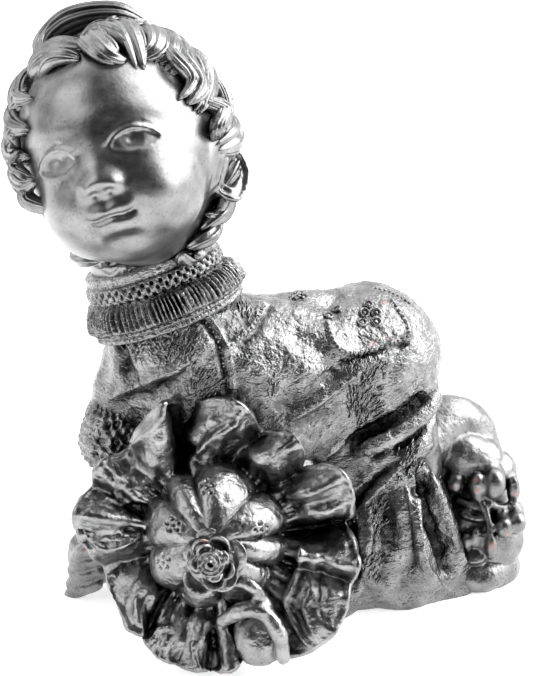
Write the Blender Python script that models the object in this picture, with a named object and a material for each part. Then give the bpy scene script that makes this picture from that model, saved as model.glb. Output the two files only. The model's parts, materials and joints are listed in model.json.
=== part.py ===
"""A crawling child beside its ruffled bonnet, cast in one piece, standing on a flat underside.

Lengths are in units of the figure's own canon of CANON units from the floor to the top of the
hair, so one unit is about a millimetre at the real size. +X is the child's rear, -Y the side with
the face and the bonnet, +Z up.
"""

import math

import bmesh
import bpy
import numpy as np
from mathutils import Matrix

FIGURE_HEIGHT = 0.172
CANON = 172.0
UNIT = FIGURE_HEIGHT / CANON
PLACE = np.array((-4.2, 3.2, 0.0))

TRIANGLES = 9700
VOXEL = 0.95
SOFTENING = 2
FACET_WEIGHT = 0.04
DRESS_VOXEL = 1.9
DRESS_SOFTENING = 14

# The head: its centre, half sizes and pose
HEAD_CENTRE = np.array((-36.5, -9.0, 134.5))
HEAD_HALF_DEPTH = 28.5
HEAD_HALF_WIDTH = 25.0
HEAD_HALF_HEIGHT = 30.0
HEAD_TURN = math.radians(17.0)
HEAD_RAISE = math.radians(26.0)
HEAD_ROLL = math.radians(22.0)
EYE_HEIGHT = -5.0
EYE_SPREAD = 10.2
EYE_HALF_WIDTH = 5.6
NOSE_HEIGHT = 4.3
MOUTH_HEIGHT = -18.8
MOUTH_HALF_WIDTH = 6.0
FEATURE_DEPTH = 1.3
CHIN_LEVEL = 100.0
HAIR_DEPTH = 2.2
LOCK_WIDTH = 3.7
LOCK_DEPTH = 2.4
# Locks round the face: width, depth, then the directions from the head's centre (forward, left, up)
FACE_LOCKS = (
    (2.2, 1.8, ((0.59, 0.0, 0.81), (0.49, 0.17, 0.85), (0.56, 0.39, 0.73), (0.62, 0.46, 0.64))),
    (2.8, 2.0, ((0.40, 0.11, 0.91), (0.64, 0.16, 0.75), (0.76, 0.29, 0.58), (0.72, 0.42, 0.55))),
    (2.4, 2.0, ((0.24, 0.22, 0.95), (0.36, 0.34, 0.86), (0.56, 0.47, 0.68), (0.70, 0.55, 0.46))),
    (2.4, 2.2, ((0.14, 0.44, 0.89), (0.26, 0.56, 0.78), (0.48, 0.62, 0.63), (0.62, 0.55, 0.57))),
    (2.2, 2.0, ((0.10, 0.53, 0.84), (0.20, 0.66, 0.73), (0.40, 0.72, 0.58), (0.54, 0.66, 0.52))),
    (2.4, 2.2, ((0.02, 0.60, 0.80), (0.14, 0.75, 0.65), (0.36, 0.79, 0.50), (0.52, 0.74, 0.42))),
    (3.4, 2.4, ((0.06, 0.62, 0.78), (0.34, 0.80, 0.50), (0.34, 0.90, 0.28), (0.50, 0.86, 0.12))),
    (3.4, 2.6, ((0.03, 0.65, 0.76), (-0.02, 0.81, 0.59), (0.10, 0.93, 0.34), (0.36, 0.92, 0.04))),
    (3.6, 2.6, ((-0.05, 0.73, 0.69), (-0.15, 0.89, 0.42), (-0.22, 0.96, 0.14), (-0.16, 0.98, -0.06))),
    (2.6, 2.4, ((0.24, 0.95, 0.16), (0.08, 1.0, 0.06), (0.22, 0.97, -0.10), (0.12, 0.97, -0.20))),
    (2.8, 2.4, ((-0.26, 0.96, 0.08), (-0.29, 0.95, -0.09), (-0.08, 0.97, -0.22), (0.14, 0.93, -0.32))),
    (3.6, 2.6, ((0.68, 0.06, 0.73), (0.62, -0.18, 0.76), (0.55, -0.40, 0.73), (0.50, -0.52, 0.69))),
    (3.6, 2.6, ((0.43, -0.42, 0.80), (0.46, -0.58, 0.67), (0.47, -0.70, 0.54), (0.48, -0.77, 0.42))),
    (2.4, 2.2, ((0.49, -0.46, 0.75), (0.46, -0.60, 0.65), (0.58, -0.60, 0.55), (0.72, -0.48, 0.50))),
    (2.6, 2.2, ((0.60, -0.60, 0.53), (0.46, -0.74, 0.49), (0.56, -0.75, 0.36), (0.76, -0.60, 0.26))),
    (2.8, 2.4, ((0.57, -0.75, 0.34), (0.45, -0.85, 0.26), (0.46, -0.88, 0.12), (0.72, -0.69, 0.03))),
    (2.4, 2.2, ((0.60, -0.79, 0.10), (0.52, -0.85, -0.03), (0.60, -0.77, -0.18), (0.70, -0.68, -0.20))),
    (2.4, 2.2, ((0.58, -0.80, -0.18), (0.52, -0.80, -0.30), (0.56, -0.68, -0.47))),
    (2.2, 2.0, ((0.27, 0.13, 0.95), (0.22, 0.20, 0.96), (0.10, 0.28, 0.95), (0.16, 0.36, 0.92))),
    (2.4, 2.2, ((0.20, 0.32, 0.93), (0.10, 0.38, 0.92), (0.02, 0.47, 0.88), (0.12, 0.54, 0.84))),
    (3.2, 2.6, ((-0.35, 0.80, -0.48), (-0.34, 0.70, -0.62), (-0.30, 0.60, -0.74), (-0.20, 0.55, -0.81))),
)

# The neck and its collar
NECK_BASE = np.array((-28.2, -4.0, 94.5))
NECK_RISE = np.array((-0.33, 0.12, 0.93))
NECK_RADIUS = 17.0
COLLAR_RADIUS = 18.6
COLLAR_PLEATS = 40

# The bonnet: centre, tilt and radii
BONNET_CENTRE = np.array((-13.5, -29.5, 34.5))
BONNET_TILT = math.radians(20.0)
BONNET_TURN = math.radians(-3.0)
CROWN_RADIUS = 18.5
CROWN_HEIGHT = 16.0
CROWN_PUFFS = 8
CROWN_PUFF_DEPTH = 0.20
BRIM_THICKNESS = 3.2
# The brim's crests and valleys, in turn round the crown: place in degrees, reach, height forward, and lean
# in degrees at the rim
BRIM_FOLDS = (
    (-10, 38.5, 7.0, 7), (4, 35.5, -8.0, 0), (22, 38.0, 6.0, -5), (37, 33.0, -3.0, 2),
    (51, 35.5, 7.5, -8), (66, 33.5, -3.0, 2), (79, 36.5, 7.0, -9), (91, 36.5, 1.5, 0),
    (100, 37.0, 3.5, 2), (109, 35.0, -9.0, 6), (120, 38.0, 9.5, 9), (138, 35.5, 1.0, 0),
    (152, 35.5, 4.5, 7), (162, 34.5, -2.5, 0), (175, 37.0, 9.0, 3), (186, 36.0, 5.5, 0),
    (197, 33.5, -6.0, 0), (211, 33.5, -1.0, 0), (224, 34.5, 3.5, 6), (232, 33.5, -2.0, 0),
    (241, 35.0, 3.0, 4), (251, 34.5, -1.5, 0), (261, 36.5, 4.5, 3), (269, 36.0, 0.0, 0),
    (277, 36.5, 5.0, -3), (286, 35.0, -6.0, 0), (299, 36.5, 5.5, 0), (312, 36.5, -1.0, 0),
    (327, 39.0, 5.0, 5), (341, 37.0, -2.0, 0),
)
# The curled lobe and the leaf over it: rows of right, up, forward and girth from the bonnet's centre
CURLED_LOBE = (
    (2.7, -21.5, 8, 1.8), (8.5, -18, 11, 2.4), (14.3, -19, 11.5, 2.4), (17.8, -24.4, 10.5, 2.2),
    (18.8, -31.3, 6, 2.0),
)
LEAF = ((4.5, -10.5, 12, 1.2), (10, -11.4, 13, 1.9), (15, -16.4, 10, 1.2))
ROSE_RADIUS = 9.0
ROSE_HEIGHT = 5.6

# The feet: each toe's root, the way that the toes point, their length and their girths from the big toe on
UPPER_TOES = ((50, 13.2, 30.6), (55.8, 11.6, 29.8), (60.6, 11.4, 29), (64.6, 12.8, 29), (67.6, 15.8, 30.2))
LOWER_TOES = ((53.6, 8, 19.6), (58.2, 6.4, 18.6), (62.4, 6.4, 19.2), (66, 7.6, 17.4), (68.4, 10.2, 16.4))
TOES_TOWARD = (-0.10, -0.80, -0.60)
TOE_LENGTH = 3.4
TOE_GIRTHS = (1.15, 1.0, 0.95, 0.95, 1.0)


def unit(vector):
    return np.asarray(vector, float) / np.linalg.norm(vector)


def smoothstep(low, high, value):
    share = np.clip((value - low) / (high - low), 0.0, 1.0)
    return share * share * (3.0 - 2.0 * share)


def hill(a, b, centre_a, centre_b, radius_a, radius_b, height):
    """A soft round rise, or a hollow where height is negative."""
    return height * np.exp(-(((a - centre_a) / radius_a) ** 2) - ((b - centre_b) / radius_b) ** 2)


def curve_through(stations, count):
    """Rows spaced evenly along a smooth curve through the given rows."""
    rows = np.array(stations, float)
    rows = np.vstack([2 * rows[0] - rows[1], rows, 2 * rows[-1] - rows[-2]])
    place = np.linspace(0, len(rows) - 3, count)
    start = np.minimum(place.astype(int), len(rows) - 4)
    share = (place - start)[:, None]
    a, b, c, d = (rows[start + k] for k in range(4))
    bend = (2 * a - 5 * b + 4 * c - d) * share**2 + (3 * b - a - 3 * c + d) * share**3
    return 0.5 * (2 * b + (c - a) * share + bend)


class Clay:
    """Closed shells that overlap, gathered until fuse() makes one body of them."""

    def __init__(self):
        self.points = []
        self.faces = []
        self.count = 0

    def add(self, points, faces):
        points = np.asarray(points, float).reshape(-1, 3)
        self.points.append(points)
        self.faces += [[corner + self.count for corner in face] for face in faces]
        self.count += len(points)

    def grid(self, points, closed_rows=False):
        """Rings of points, each ring closed. The first ring also joins the last, or both are capped."""
        rows, sides = points.shape[:2]
        faces = []
        for row in range(rows if closed_rows else rows - 1):
            low, high = row * sides, (row + 1) % rows * sides
            for k in range(sides):
                faces.append((low + k - 1 if k else low + sides - 1, low + k, high + k,
                              high + k - 1 if k else high + sides - 1))
        if not closed_rows:
            faces.append(tuple(range(sides))[::-1])
            faces.append(tuple(range((rows - 1) * sides, rows * sides)))
        self.add(points, faces)

    def ball(self, centre, radii, axes=np.eye(3), sides=28):
        """An ellipsoid. The rows of axes are its own three directions."""
        height = np.linspace(-math.pi / 2, math.pi / 2, sides // 2 + 1)[1:-1, None]
        turn = np.linspace(0, 2 * math.pi, sides, endpoint=False)[None, :]
        own = np.stack([np.cos(height) * np.cos(turn), np.cos(height) * np.sin(turn),
                        np.sin(height) + 0 * turn], axis=-1)
        self.grid(np.asarray(centre) + (own * radii) @ np.asarray(axes))

    def tube(self, centres, widths, heights, ups, sides=12, ribs=0, rib_depth=0.0):
        """An oval tube along a path, each section spread across the path and along ups."""
        centres = np.asarray(centres, float)
        along = np.gradient(centres, axis=0)
        along /= np.linalg.norm(along, axis=1)[:, None]
        across = np.cross(along, np.broadcast_to(ups, centres.shape))
        across /= np.linalg.norm(across, axis=1)[:, None]
        rise = np.cross(across, along)
        turn = np.linspace(0, 2 * math.pi, sides, endpoint=False)
        swell = 1.0 - rib_depth * (0.5 + 0.5 * np.cos(ribs * turn)) if ribs else 1.0 + 0 * turn
        wide = (np.cos(turn) * swell)[None, :, None] * np.asarray(widths)[:, None, None]
        high = (np.sin(turn) * swell)[None, :, None] * np.asarray(heights)[:, None, None]
        self.grid(centres[:, None] + across[:, None] * wide + rise[:, None] * high)

    def limb(self, stations, up=(0, 1, 0), sides=18):
        """A round limb through rows of x, y, z and radius, with round ends."""
        rows = curve_through(stations, 7 * len(stations))
        caps = np.linspace(0, math.pi / 2, 5)[1:]
        start = unit(rows[0, :3] - rows[1, :3])
        end = unit(rows[-1, :3] - rows[-2, :3])
        reach, girth = np.sin(caps), np.maximum(np.cos(caps), 0.05)
        first = np.hstack([rows[0, :3] + np.outer(reach, start) * rows[0, 3], girth[:, None] * rows[0, 3]])
        last = np.hstack([rows[-1, :3] + np.outer(reach, end) * rows[-1, 3], girth[:, None] * rows[-1, 3]])
        rows = np.vstack([first[::-1], rows, last])
        self.tube(rows[:, :3], rows[:, 3], rows[:, 3], up, sides)


def fuse(name, clay, voxel, softening):
    """One object whose mesh is the union of the clay's shells, softened a little."""
    mesh = bpy.data.meshes.new(name)
    mesh.from_pydata(np.vstack(clay.points), [], clay.faces)
    shell = bpy.data.objects.new(name, mesh)
    bpy.context.scene.collection.objects.link(shell)
    remesh = shell.modifiers.new("One casting", "REMESH")
    remesh.mode = "VOXEL"
    remesh.voxel_size = voxel
    smooth = shell.modifiers.new("Soft edges", "SMOOTH")
    smooth.factor = 0.5
    smooth.iterations = softening
    evaluated = shell.evaluated_get(bpy.context.evaluated_depsgraph_get())
    fused = bpy.data.meshes.new_from_object(evaluated)
    shell.modifiers.clear()
    shell.data = fused
    return shell


def points_of(mesh):
    points = np.empty(len(mesh.vertices) * 3)
    mesh.vertices.foreach_get("co", points)
    return points.reshape(-1, 3)


def normals_of(mesh):
    normals = np.empty(len(mesh.vertices) * 3)
    mesh.vertices.foreach_get("normal", normals)
    return normals.reshape(-1, 3)


def head_axes():
    """The head's forward, left and up directions."""
    turn, lift, roll = HEAD_TURN, HEAD_RAISE, HEAD_ROLL
    forward = np.array((-math.sin(turn) * math.cos(lift), -math.cos(turn) * math.cos(lift), math.sin(lift)))
    level = unit(np.cross((0, 0, 1), forward))
    upright = np.cross(forward, level)
    left = level * math.cos(roll) + upright * math.sin(roll)
    up = upright * math.cos(roll) - level * math.sin(roll)
    return np.array((forward, left, up))


def skull_radius(way):
    """The bare head's radius along unit directions given in the head's own axes."""
    depth = np.where(way[..., 0] > 0, HEAD_HALF_DEPTH, HEAD_HALF_DEPTH * 1.05)
    narrow = 1.0 - 0.10 * smoothstep(0.1, 0.9, -way[..., 2])
    squared = (way[..., 0] / depth) ** 2 + (way[..., 1] / (HEAD_HALF_WIDTH * narrow)) ** 2
    return 1.0 / np.sqrt(squared + (way[..., 2] / HEAD_HALF_HEIGHT) ** 2)


def eye_relief(a, b, side):
    """An eye: the ball in its almond opening, with lids and a crease."""
    x = (a - side * EYE_SPREAD) * side
    y = b - EYE_HEIGHT - 0.05 * x
    arch = np.clip(1.0 - (x / EYE_HALF_WIDTH) ** 2, 0.0, 1.0)
    upper = 3.1 * arch**0.75
    lower = -2.2 * arch**0.8
    inside = smoothstep(-0.25, 0.3, np.minimum(upper - y, y - lower)) * (arch > 0)
    near = np.exp(-((np.clip(np.abs(x) - EYE_HALF_WIDTH * 0.92, 0, None)) ** 2) / 0.8)
    lids = 1.15 * np.exp(-((y - upper - 0.5) / 1.0) ** 2) + 0.7 * np.exp(-((y - lower + 0.5) / 0.9) ** 2)
    crease = -0.5 * np.exp(-((y - upper - 2.3) / 0.55) ** 2)
    ball = 1.35 - 0.035 * (x**2 + y**2)
    iris = -0.32 * smoothstep(2.55, 2.2, np.hypot(x + 0.3, y - 0.3))
    pupil = -0.45 * smoothstep(1.25, 0.9, np.hypot(x + 0.3, y - 0.3))
    return (lids + crease) * near * (1 - inside) + (ball + iris + pupil) * inside


def face_relief(a, b):
    """How far the face stands out of the skull, over its breadth a and height b."""
    relief = hill(a, b, 0, 14, 17, 11, 1.8)
    for side in (-1, 1):
        relief = relief + hill(a, b, side * EYE_SPREAD, EYE_HEIGHT + 0.6, 6.8, 4.6, -2.3)
        relief += hill(a, b, side * 9.8, 2.9, 7.0, 2.6, 0.7)
        relief += hill(a, b, side * 13.5, -15.0, 8.5, 8.0, 4.0)
        relief += hill(a, b, side * 10.0, -22.5, 8.0, 6.0, 2.2)
        relief += hill(a, b, side * 3.2, -12.6, 1.7, 1.6, 0.46 * NOSE_HEIGHT)
        relief += hill(a, b, side * 1.7, -14.0, 0.9, 0.75, -1.5)
        relief += hill(a, b, side * (MOUTH_HALF_WIDTH + 0.4), MOUTH_HEIGHT, 1.4, 1.5, -1.0)
        relief += eye_relief(a, b, side)
    relief += hill(a, b, 0, -11.5, 2.9, 2.5, 0.86 * NOSE_HEIGHT)
    relief += hill(a, b, 0, -8.2, 2.5, 3.4, 0.36 * NOSE_HEIGHT)
    relief += hill(a, b, 0, -3.8, 2.6, 4.4, 0.24 * NOSE_HEIGHT)
    relief += hill(a, b, 0, MOUTH_HEIGHT, 8.5, 5.0, 2.3)
    relief += hill(a, b, 0, -16.0, 0.8, 1.3, -0.45)
    span = np.clip(1.0 - (a / MOUTH_HALF_WIDTH) ** 2, 0.0, 1.0)
    bow = MOUTH_HEIGHT + 1.35 - 0.3 * np.exp(-((a / 1.1) ** 2))
    relief += 1.15 * span**0.8 * np.exp(-(((b - bow) / 1.05) ** 2))
    relief += 1.6 * np.clip(span - 0.2, 0, 1) * np.exp(-(((b - MOUTH_HEIGHT + 1.7) / 1.35) ** 2))
    parting = MOUTH_HEIGHT + 0.15 * np.cos(a * 0.9) + 0.012 * a**2
    relief += -1.3 * span**0.5 * np.exp(-(((b - parting) / 0.5) ** 2))
    relief += hill(a, b, 0, -22.6, 4.5, 1.3, -0.9)
    relief += hill(a, b, 0, -26.2, 5.2, 3.4, 2.0)
    return relief


def hair_cover(way):
    """1 where hair grows on the head, 0 on the face, ears and nape."""
    front = smoothstep(0.50, 0.62, way[..., 2] + 0.75 * np.abs(way[..., 1]) ** 2.2)
    side = smoothstep(0.30, 0.05, way[..., 0])
    nape = smoothstep(-0.72, -0.55, way[..., 2])
    return np.maximum(front * smoothstep(-0.15, 0.1, way[..., 2]), side * nape)


def head(clay, rows=110, columns=170):
    height = np.linspace(-math.pi / 2, math.pi / 2, rows)[1:-1, None]
    turn = np.linspace(0, 2 * math.pi, columns, endpoint=False)[None, :]
    way = np.stack([np.cos(height) * np.cos(turn), np.cos(height) * np.sin(turn),
                    np.sin(height) + 0 * turn], axis=-1)
    bare = skull_radius(way)
    hair = hair_cover(way)
    face = face_relief(bare * way[..., 1], bare * way[..., 2])
    face = FEATURE_DEPTH * face * smoothstep(0.0, 0.35, way[..., 0]) * (1 - hair)
    radius = bare + face + HAIR_DEPTH * hair
    clay.grid(HEAD_CENTRE + (way * radius[..., None]) @ head_axes())


def ear(clay, side):
    """An ear: its rim a curled tube round a shallow bowl, and the lobe."""
    forward, left, up = head_axes()
    outward = unit(side * left * 0.75 + 0.66 * forward)
    back = unit(side * left * 0.66 - 0.75 * forward)
    root = HEAD_CENTRE + side * left * (HEAD_HALF_WIDTH - 3.5) - forward * 1.5 - up * 12.5
    if side < 0:
        root = root - forward * 7.0 - side * left * 2.5
    centre = root + back * 4.0
    turn = np.linspace(math.radians(-140), math.radians(150), 24)
    tall = np.interp(turn, (-1.6, 1.6), (6.0, 7.2))
    rim = centre + outward * 1.2 + np.outer(np.sin(turn) * tall, up) + np.outer(np.cos(turn) * 4.6, back)
    thick = np.interp(np.linspace(0, 1, 24), (0, 0.15, 0.8, 1), (0.8, 1.5, 1.6, 0.9))
    clay.tube(rim, thick, thick, outward, 10)
    clay.ball(centre - outward * 0.9, (1.7, 5.2, 7.0), (outward, back, up))
    clay.ball(centre + outward * 0.3 - up * 6.4 - back * 1.0, (2.0, 2.8, 2.9), (outward, back, up))
    clay.ball(root + outward * 0.6 - up * 1.0, (1.4, 1.5, 2.2), (outward, back, up))


def lock(clay, tilt, bearing, heading, curl, length, width=LOCK_WIDTH, lift=1.6, steps=16):
    """A lock of hair laid over the skull from a start near the crown, its end curling round."""
    axes = head_axes()
    crown = unit(np.array((-0.30, 0.0, 0.95)))
    front = unit(np.array((0.95, 0.0, 0.30)))
    flank = np.cross(crown, front)
    way = crown * math.cos(tilt) + (front * math.cos(bearing) + flank * math.sin(bearing)) * math.sin(tilt)
    downward = unit(way * math.cos(tilt) - crown)
    sideways = np.cross(way, downward)
    going = downward * math.cos(heading) + sideways * math.sin(heading)
    stride = length / steps
    centres, ups = [], []
    for step in range(steps + 1):
        share = step / steps
        rise = HAIR_DEPTH + lift * math.sin(math.pi * min(share * 1.25, 1.0)) - 0.5
        centres.append(way * (skull_radius(way) + rise))
        ups.append(way)
        spin = curl * share**1.7 * 2.7 / steps
        going = going * math.cos(spin) + np.cross(way, going) * math.sin(spin)
        way = unit(way + going * stride / np.linalg.norm(centres[-1]))
        going = unit(going - way * np.dot(way, going))
    share = np.linspace(0, 1, steps + 1)
    taper = np.clip(np.sin(math.pi * np.clip(0.06 + share * 0.92, 0, 1)) ** 0.55, 0.12, 1)
    clay.tube(HEAD_CENTRE + np.array(centres) @ axes, width * taper, LOCK_DEPTH * taper,
              np.array(ups) @ axes, 14, ribs=5, rib_depth=0.24)


def face_lock(clay, width, depth, places):
    """A lock laid over the skull through the given directions from the head's centre."""
    way = curve_through(places, 16)
    way /= np.linalg.norm(way, axis=1)[:, None]
    share = np.linspace(0, 1, len(way))
    rise = HAIR_DEPTH * 0.75 + 1.7 * np.sin(math.pi * np.minimum(share * 1.15, 1.0))
    taper = np.clip(np.sin(math.pi * np.clip(0.08 + share * 0.88, 0, 1)) ** 0.6, 0.15, 1)
    path = HEAD_CENTRE + (way * (skull_radius(way) + rise)[:, None]) @ head_axes()
    clay.tube(path, width * taper, depth * taper, way @ head_axes(), 14, ribs=5, rib_depth=0.24)


def hair(clay):
    """The locks round the face, and rows of locks over the crown, the sides and the nape."""
    for width, depth, places in FACE_LOCKS:
        face_lock(clay, width, depth, places)
    wander = np.random.default_rng(11)
    rows = ((0.22, 5, 17), (0.62, 9, 18), (1.02, 13, 18), (1.42, 17, 16), (1.80, 17, 15), (2.12, 15, 13))
    for row, (tilt, count, length) in enumerate(rows):
        for k in range(count):
            bearing = 2 * math.pi * (k + 0.5 * (row % 2)) / count + wander.uniform(-0.1, 0.1)
            facing = abs((bearing + math.pi) % (2 * math.pi) - math.pi)
            if facing < np.interp(tilt, (0.2, 0.6, 1.0, 1.4, 2.2), (0.5, 1.2, 1.5, 1.7, 2.0)):
                continue
            swing = 1 if (k + row) % 2 else -1
            lock(clay, tilt, bearing, swing * wander.uniform(0.2, 0.6), -swing * wander.uniform(0.9, 1.9),
                 length * wander.uniform(0.9, 1.1))
    quiff(clay)


def quiff(clay):
    """The big roll of hair that stands up over the child's right brow."""
    forward, left, up = head_axes()
    clay.ball(HEAD_CENTRE + forward * 6 - left * 1 + up * 26, (8, 11, 6), head_axes())
    rolls = ((0, 0, 5.4), (4.5, 2.5, 4.2), (-4.5, -1.5, 4.4))
    for lean, drop, size in rolls:
        places = ((2, 15, 29.0), (3, 9, 32.0), (4, 2, 34.5), (6, -5, 34.0), (9, -10, 30.0), (13, -11, 25.5),
                  (17, -7, 22.5))
        path = [HEAD_CENTRE + forward * (f + lean) + left * l + up * (u - drop) for f, l, u in places]
        path = curve_through(path, 24)
        share = np.linspace(0, 1, 24)
        girth = np.interp(share, (0, 0.15, 0.45, 0.75, 1), (1.5, 4.0, 5.4, 4.4, 1.5)) * size / 5.4
        clay.tube(path, girth * 1.1, girth * 0.85, path - HEAD_CENTRE, 20, ribs=6, rib_depth=0.2)


def neck_axes():
    """The neck's axis, and two directions square to it."""
    rise = unit(NECK_RISE)
    across = unit(np.cross((0, 1, 0), rise))
    return rise, across, np.cross(rise, across)


def collar(clay):
    """The neck, a smooth band and a lace band round it, and a pleated frill with its hem under them."""
    rise, across, deep = neck_axes()
    clay.limb([(*(NECK_BASE - rise * 8), NECK_RADIUS), (*(NECK_BASE + rise * 2), NECK_RADIUS),
               (*(NECK_BASE + rise * 12), NECK_RADIUS - 2)])
    rolls = ((8.6, -1.4, 2.0, 3.0, 0), (4.4, 0.0, 2.2, 2.4, 0), (-0.6, 0.4, 3.0, 3.6, COLLAR_PLEATS),
             (-5.8, 0.4, 1.8, 1.8, 0))
    for height, spread, thick, tall, pleats in rolls:
        turn = np.linspace(0, 2 * math.pi, 160, endpoint=False)
        section = np.linspace(0, 2 * math.pi, 12, endpoint=False)
        frill = 1.0 + (0.14 * np.cos(pleats * turn) if pleats else 0 * turn)
        radius = COLLAR_RADIUS + spread + np.cos(section)[None, :] * (thick * frill)[:, None]
        level = height + np.sin(section)[None, :] * tall + 0 * turn[:, None]
        ring = (across * np.cos(turn)[:, None] + deep * 0.94 * np.sin(turn)[:, None])[:, None]
        clay.grid(NECK_BASE + ring * radius[..., None] + rise * level[..., None], closed_rows=True)


def dress_clay():
    """The clothed body: chest, back, rump, thighs, sleeves and the skirt down to the floor."""
    clay = Clay()
    clay.ball((-23, -1, 75), (20, 18, 20))
    clay.limb([(-24, -1, 76, 17.0), (-10, 2, 71.5, 20.5), (9, 9, 68.0, 22.5), (28, 16, 67.5, 21.5)], sides=40)
    clay.ball((-8, 0, 56), (28, 20, 24))
    clay.ball((10, 9, 58), (28, 20, 24))
    clay.ball((28, 17, 68.5), (20, 23, 22))
    clay.ball((31, 8, 54), (17, 15, 18))
    clay.ball((30, 27, 44), (18, 16, 24))
    clay.ball((38, 32, 12), (20, 14, 17))
    clay.ball((2, 14, 28), (40, 22, 40))
    clay.ball((44, 16, 2), (22, 20, 14))
    clay.ball((3, -4, 3), (24, 17, 13))
    clay.ball((-28, 9, 14), (20, 16, 20))
    clay.limb([(-8, 0, 79, 13), (-9, -5, 66, 13), (-12, -11, 50, 12), (-15, -17, 34, 9)])
    clay.limb([(-32, 6, 80, 11), (-37, 3, 66, 10), (-41, 1, 54, 9)])
    clay.ball((-41, -1, 51), (9.5, 10, 11))
    # The skirt fans out from the thigh to the floor
    for top, foot, girth in (((30, 2, 36), (30, 1, 4), 10), ((36, 3, 38), (38, 1, 5), 11),
                             ((40, 6, 38), (46, 5, 5), 9), ((44, 12, 34), (50, 12, 5), 9)):
        middle = (np.add(top, foot) / 2) + np.array((0.5, -3, -1))
        clay.limb([(*top, girth * 0.62), (*middle, girth * 0.9), (*foot, girth)])
    return clay


def press(points, normals, line, radius, depth, count=70):
    """Raises the surface along a line, or sinks it where depth is negative."""
    path = curve_through(line, count)
    gap = np.full(len(points), np.inf)
    for place in path:
        gap = np.minimum(gap, np.linalg.norm(points - place, axis=1))
    return normals * (depth * np.exp(-((gap / radius) ** 2)))[:, None]


# Folds of the dress: a radius, a height and the points that each runs through
FOLDS = (
    (2.0, 3.0, ((38, -5, 38), (40, -9, 27), (43, -10, 15), (48, -7, 4))),
    (2.2, -2.6, ((42, -3, 35), (46, -5, 25), (51, -4, 13))),
    (2.0, 2.6, ((46, 2, 34), (51, 1, 24), (55, 2, 10))),
    (2.4, 2.4, ((26, -7, 28), (28, -10, 18), (32, -12, 5))),
    (2.4, -2.2, ((32, -8, 34), (35, -11, 22), (39, -12, 6))),
    (2.0, 3.0, ((26, -7, 49), (35, -6, 53), (44, -1, 58), (49, 7, 62))),
    (2.0, -2.8, ((24, -8, 45), (35, -7, 48), (44, -2, 53), (49, 7, 57))),
    (2.0, 2.4, ((23, -10, 30), (31, -8, 38), (39, -4, 44), (44, 2, 47))),
    (1.6, -2.0, ((22, -10, 34), (30, -8, 42), (38, -5, 48))),
    (2.6, -2.0, ((17, -4, 60), (19, -4, 70), (18, 0, 82), (17, 8, 90))),
    (3.0, -2.0, ((-2, -14, 62), (8, -12, 60), (16, -8, 62))),
    (1.5, 1.6, ((16, -9, 48), (26, -9, 57), (36, -6, 68), (40, -3, 75))),
    (2.2, 1.6, ((-40, -10, 74), (-36, -15, 66), (-28, -18, 60))),
    (2.2, -1.8, ((-38, -8, 82), (-36, -14, 74), (-34, -15, 66))),
    (3.0, 2.2, ((10, 34, 60), (0, 36, 36), (-8, 36, 8))),
    (3.0, 2.2, ((26, 42, 50), (24, 47, 28), (20, 48, 6))),
    (3.0, -2.2, ((18, 38, 54), (12, 42, 30), (6, 44, 6))),
)


def carve(shell, strokes):
    points = points_of(shell.data)
    normals = normals_of(shell.data)
    moved = points.copy()
    for radius, depth, line in strokes:
        moved += press(points, normals, line, radius, depth)
    shell.data.vertices.foreach_set("co", moved.ravel())
    shell.data.update()


def toes(clay, places, toward, size):
    """Toes side by side: the place of each root, the way they point and the first one's girth."""
    toward = unit(toward)
    for root, share in zip(places, TOE_GIRTHS):
        girth = size * share
        tip = np.add(root, toward * TOE_LENGTH)
        clay.limb([(*root, girth), (*(np.add(root, tip) / 2), girth), (*tip, girth * 0.90)], sides=12)
        clay.ball(tip + toward * 0.4, (girth * 0.95, girth * 0.9, girth * 0.95), sides=12)


def legs(clay):
    """The bare ankles and the two crossed feet behind the skirt."""
    clay.limb([(44, 17, 40, 9.0), (51, 23, 43.5, 8.2), (57.5, 26, 40.5, 7.6), (61.5, 25, 34, 6.4)])
    clay.limb([(43, 8, 50, 4.4), (44, 8, 43, 4.6), (45, 9, 36, 4.4)])
    clay.limb([(50, 18, 38, 5.5), (56, 17.5, 36, 7.0), (61, 18.5, 33, 6.5)])
    clay.ball((59.5, 19, 33.5), (8.6, 8.0, 7.4))
    clay.ball((64.5, 20, 30), (7.5, 8.0, 6.5))
    toes(clay, UPPER_TOES, TOES_TOWARD, 2.65)
    clay.ball((64.5, 14, 11.5), (9.5, 9.5, 10.5))
    clay.ball((57.5, 16, 14), (9.5, 9.5, 14))
    clay.ball((66.5, 14.5, 15.5), (5.5, 8.5, 7.0))
    toes(clay, LOWER_TOES, TOES_TOWARD, 2.45)
    clay.limb([(52, 10, 4.5, 4.5), (60, 4.5, 3.6, 4.4), (68, 10, 4.0, 4.6)])
    clay.ball((61, 14, 2.5), (12.5, 11.5, 6))
    clay.ball((58, 26, 16), (13, 11, 24))
    clay.ball((50, 25, 28), (11, 13, 20))


def arm(clay):
    """The child's right forearm and the hand it leans on, with its fingers folded side by side."""
    forearm = ((-40, 3, 46, 7.2), (-41, 3, 36, 6.8), (-41.5, 4, 26, 6.6), (-43, 5, 16, 6.2), (-45, 5, 9, 6.4))
    clay.limb(forearm)
    palm_axes = (unit((1, 0, 0.35)), (0, 1, 0), unit((-0.35, 0, 1)))
    clay.ball((-47.5, 5.5, 8.5), (6.4, 6.6, 8.4), palm_axes)
    for finger in range(4):
        root = np.array((-44.2, -1.4, 15.5)) + np.array((-0.6, 0.3, -4.2)) * finger
        tip = root + np.array((-7.2, 2.4, -5.2))
        knuckle = (root + tip) / 2 + (-0.5, -1.0, 0.9)
        clay.limb([(*root, 2.3), (*knuckle, 2.4), (*tip, 2.0)], sides=12)


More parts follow.
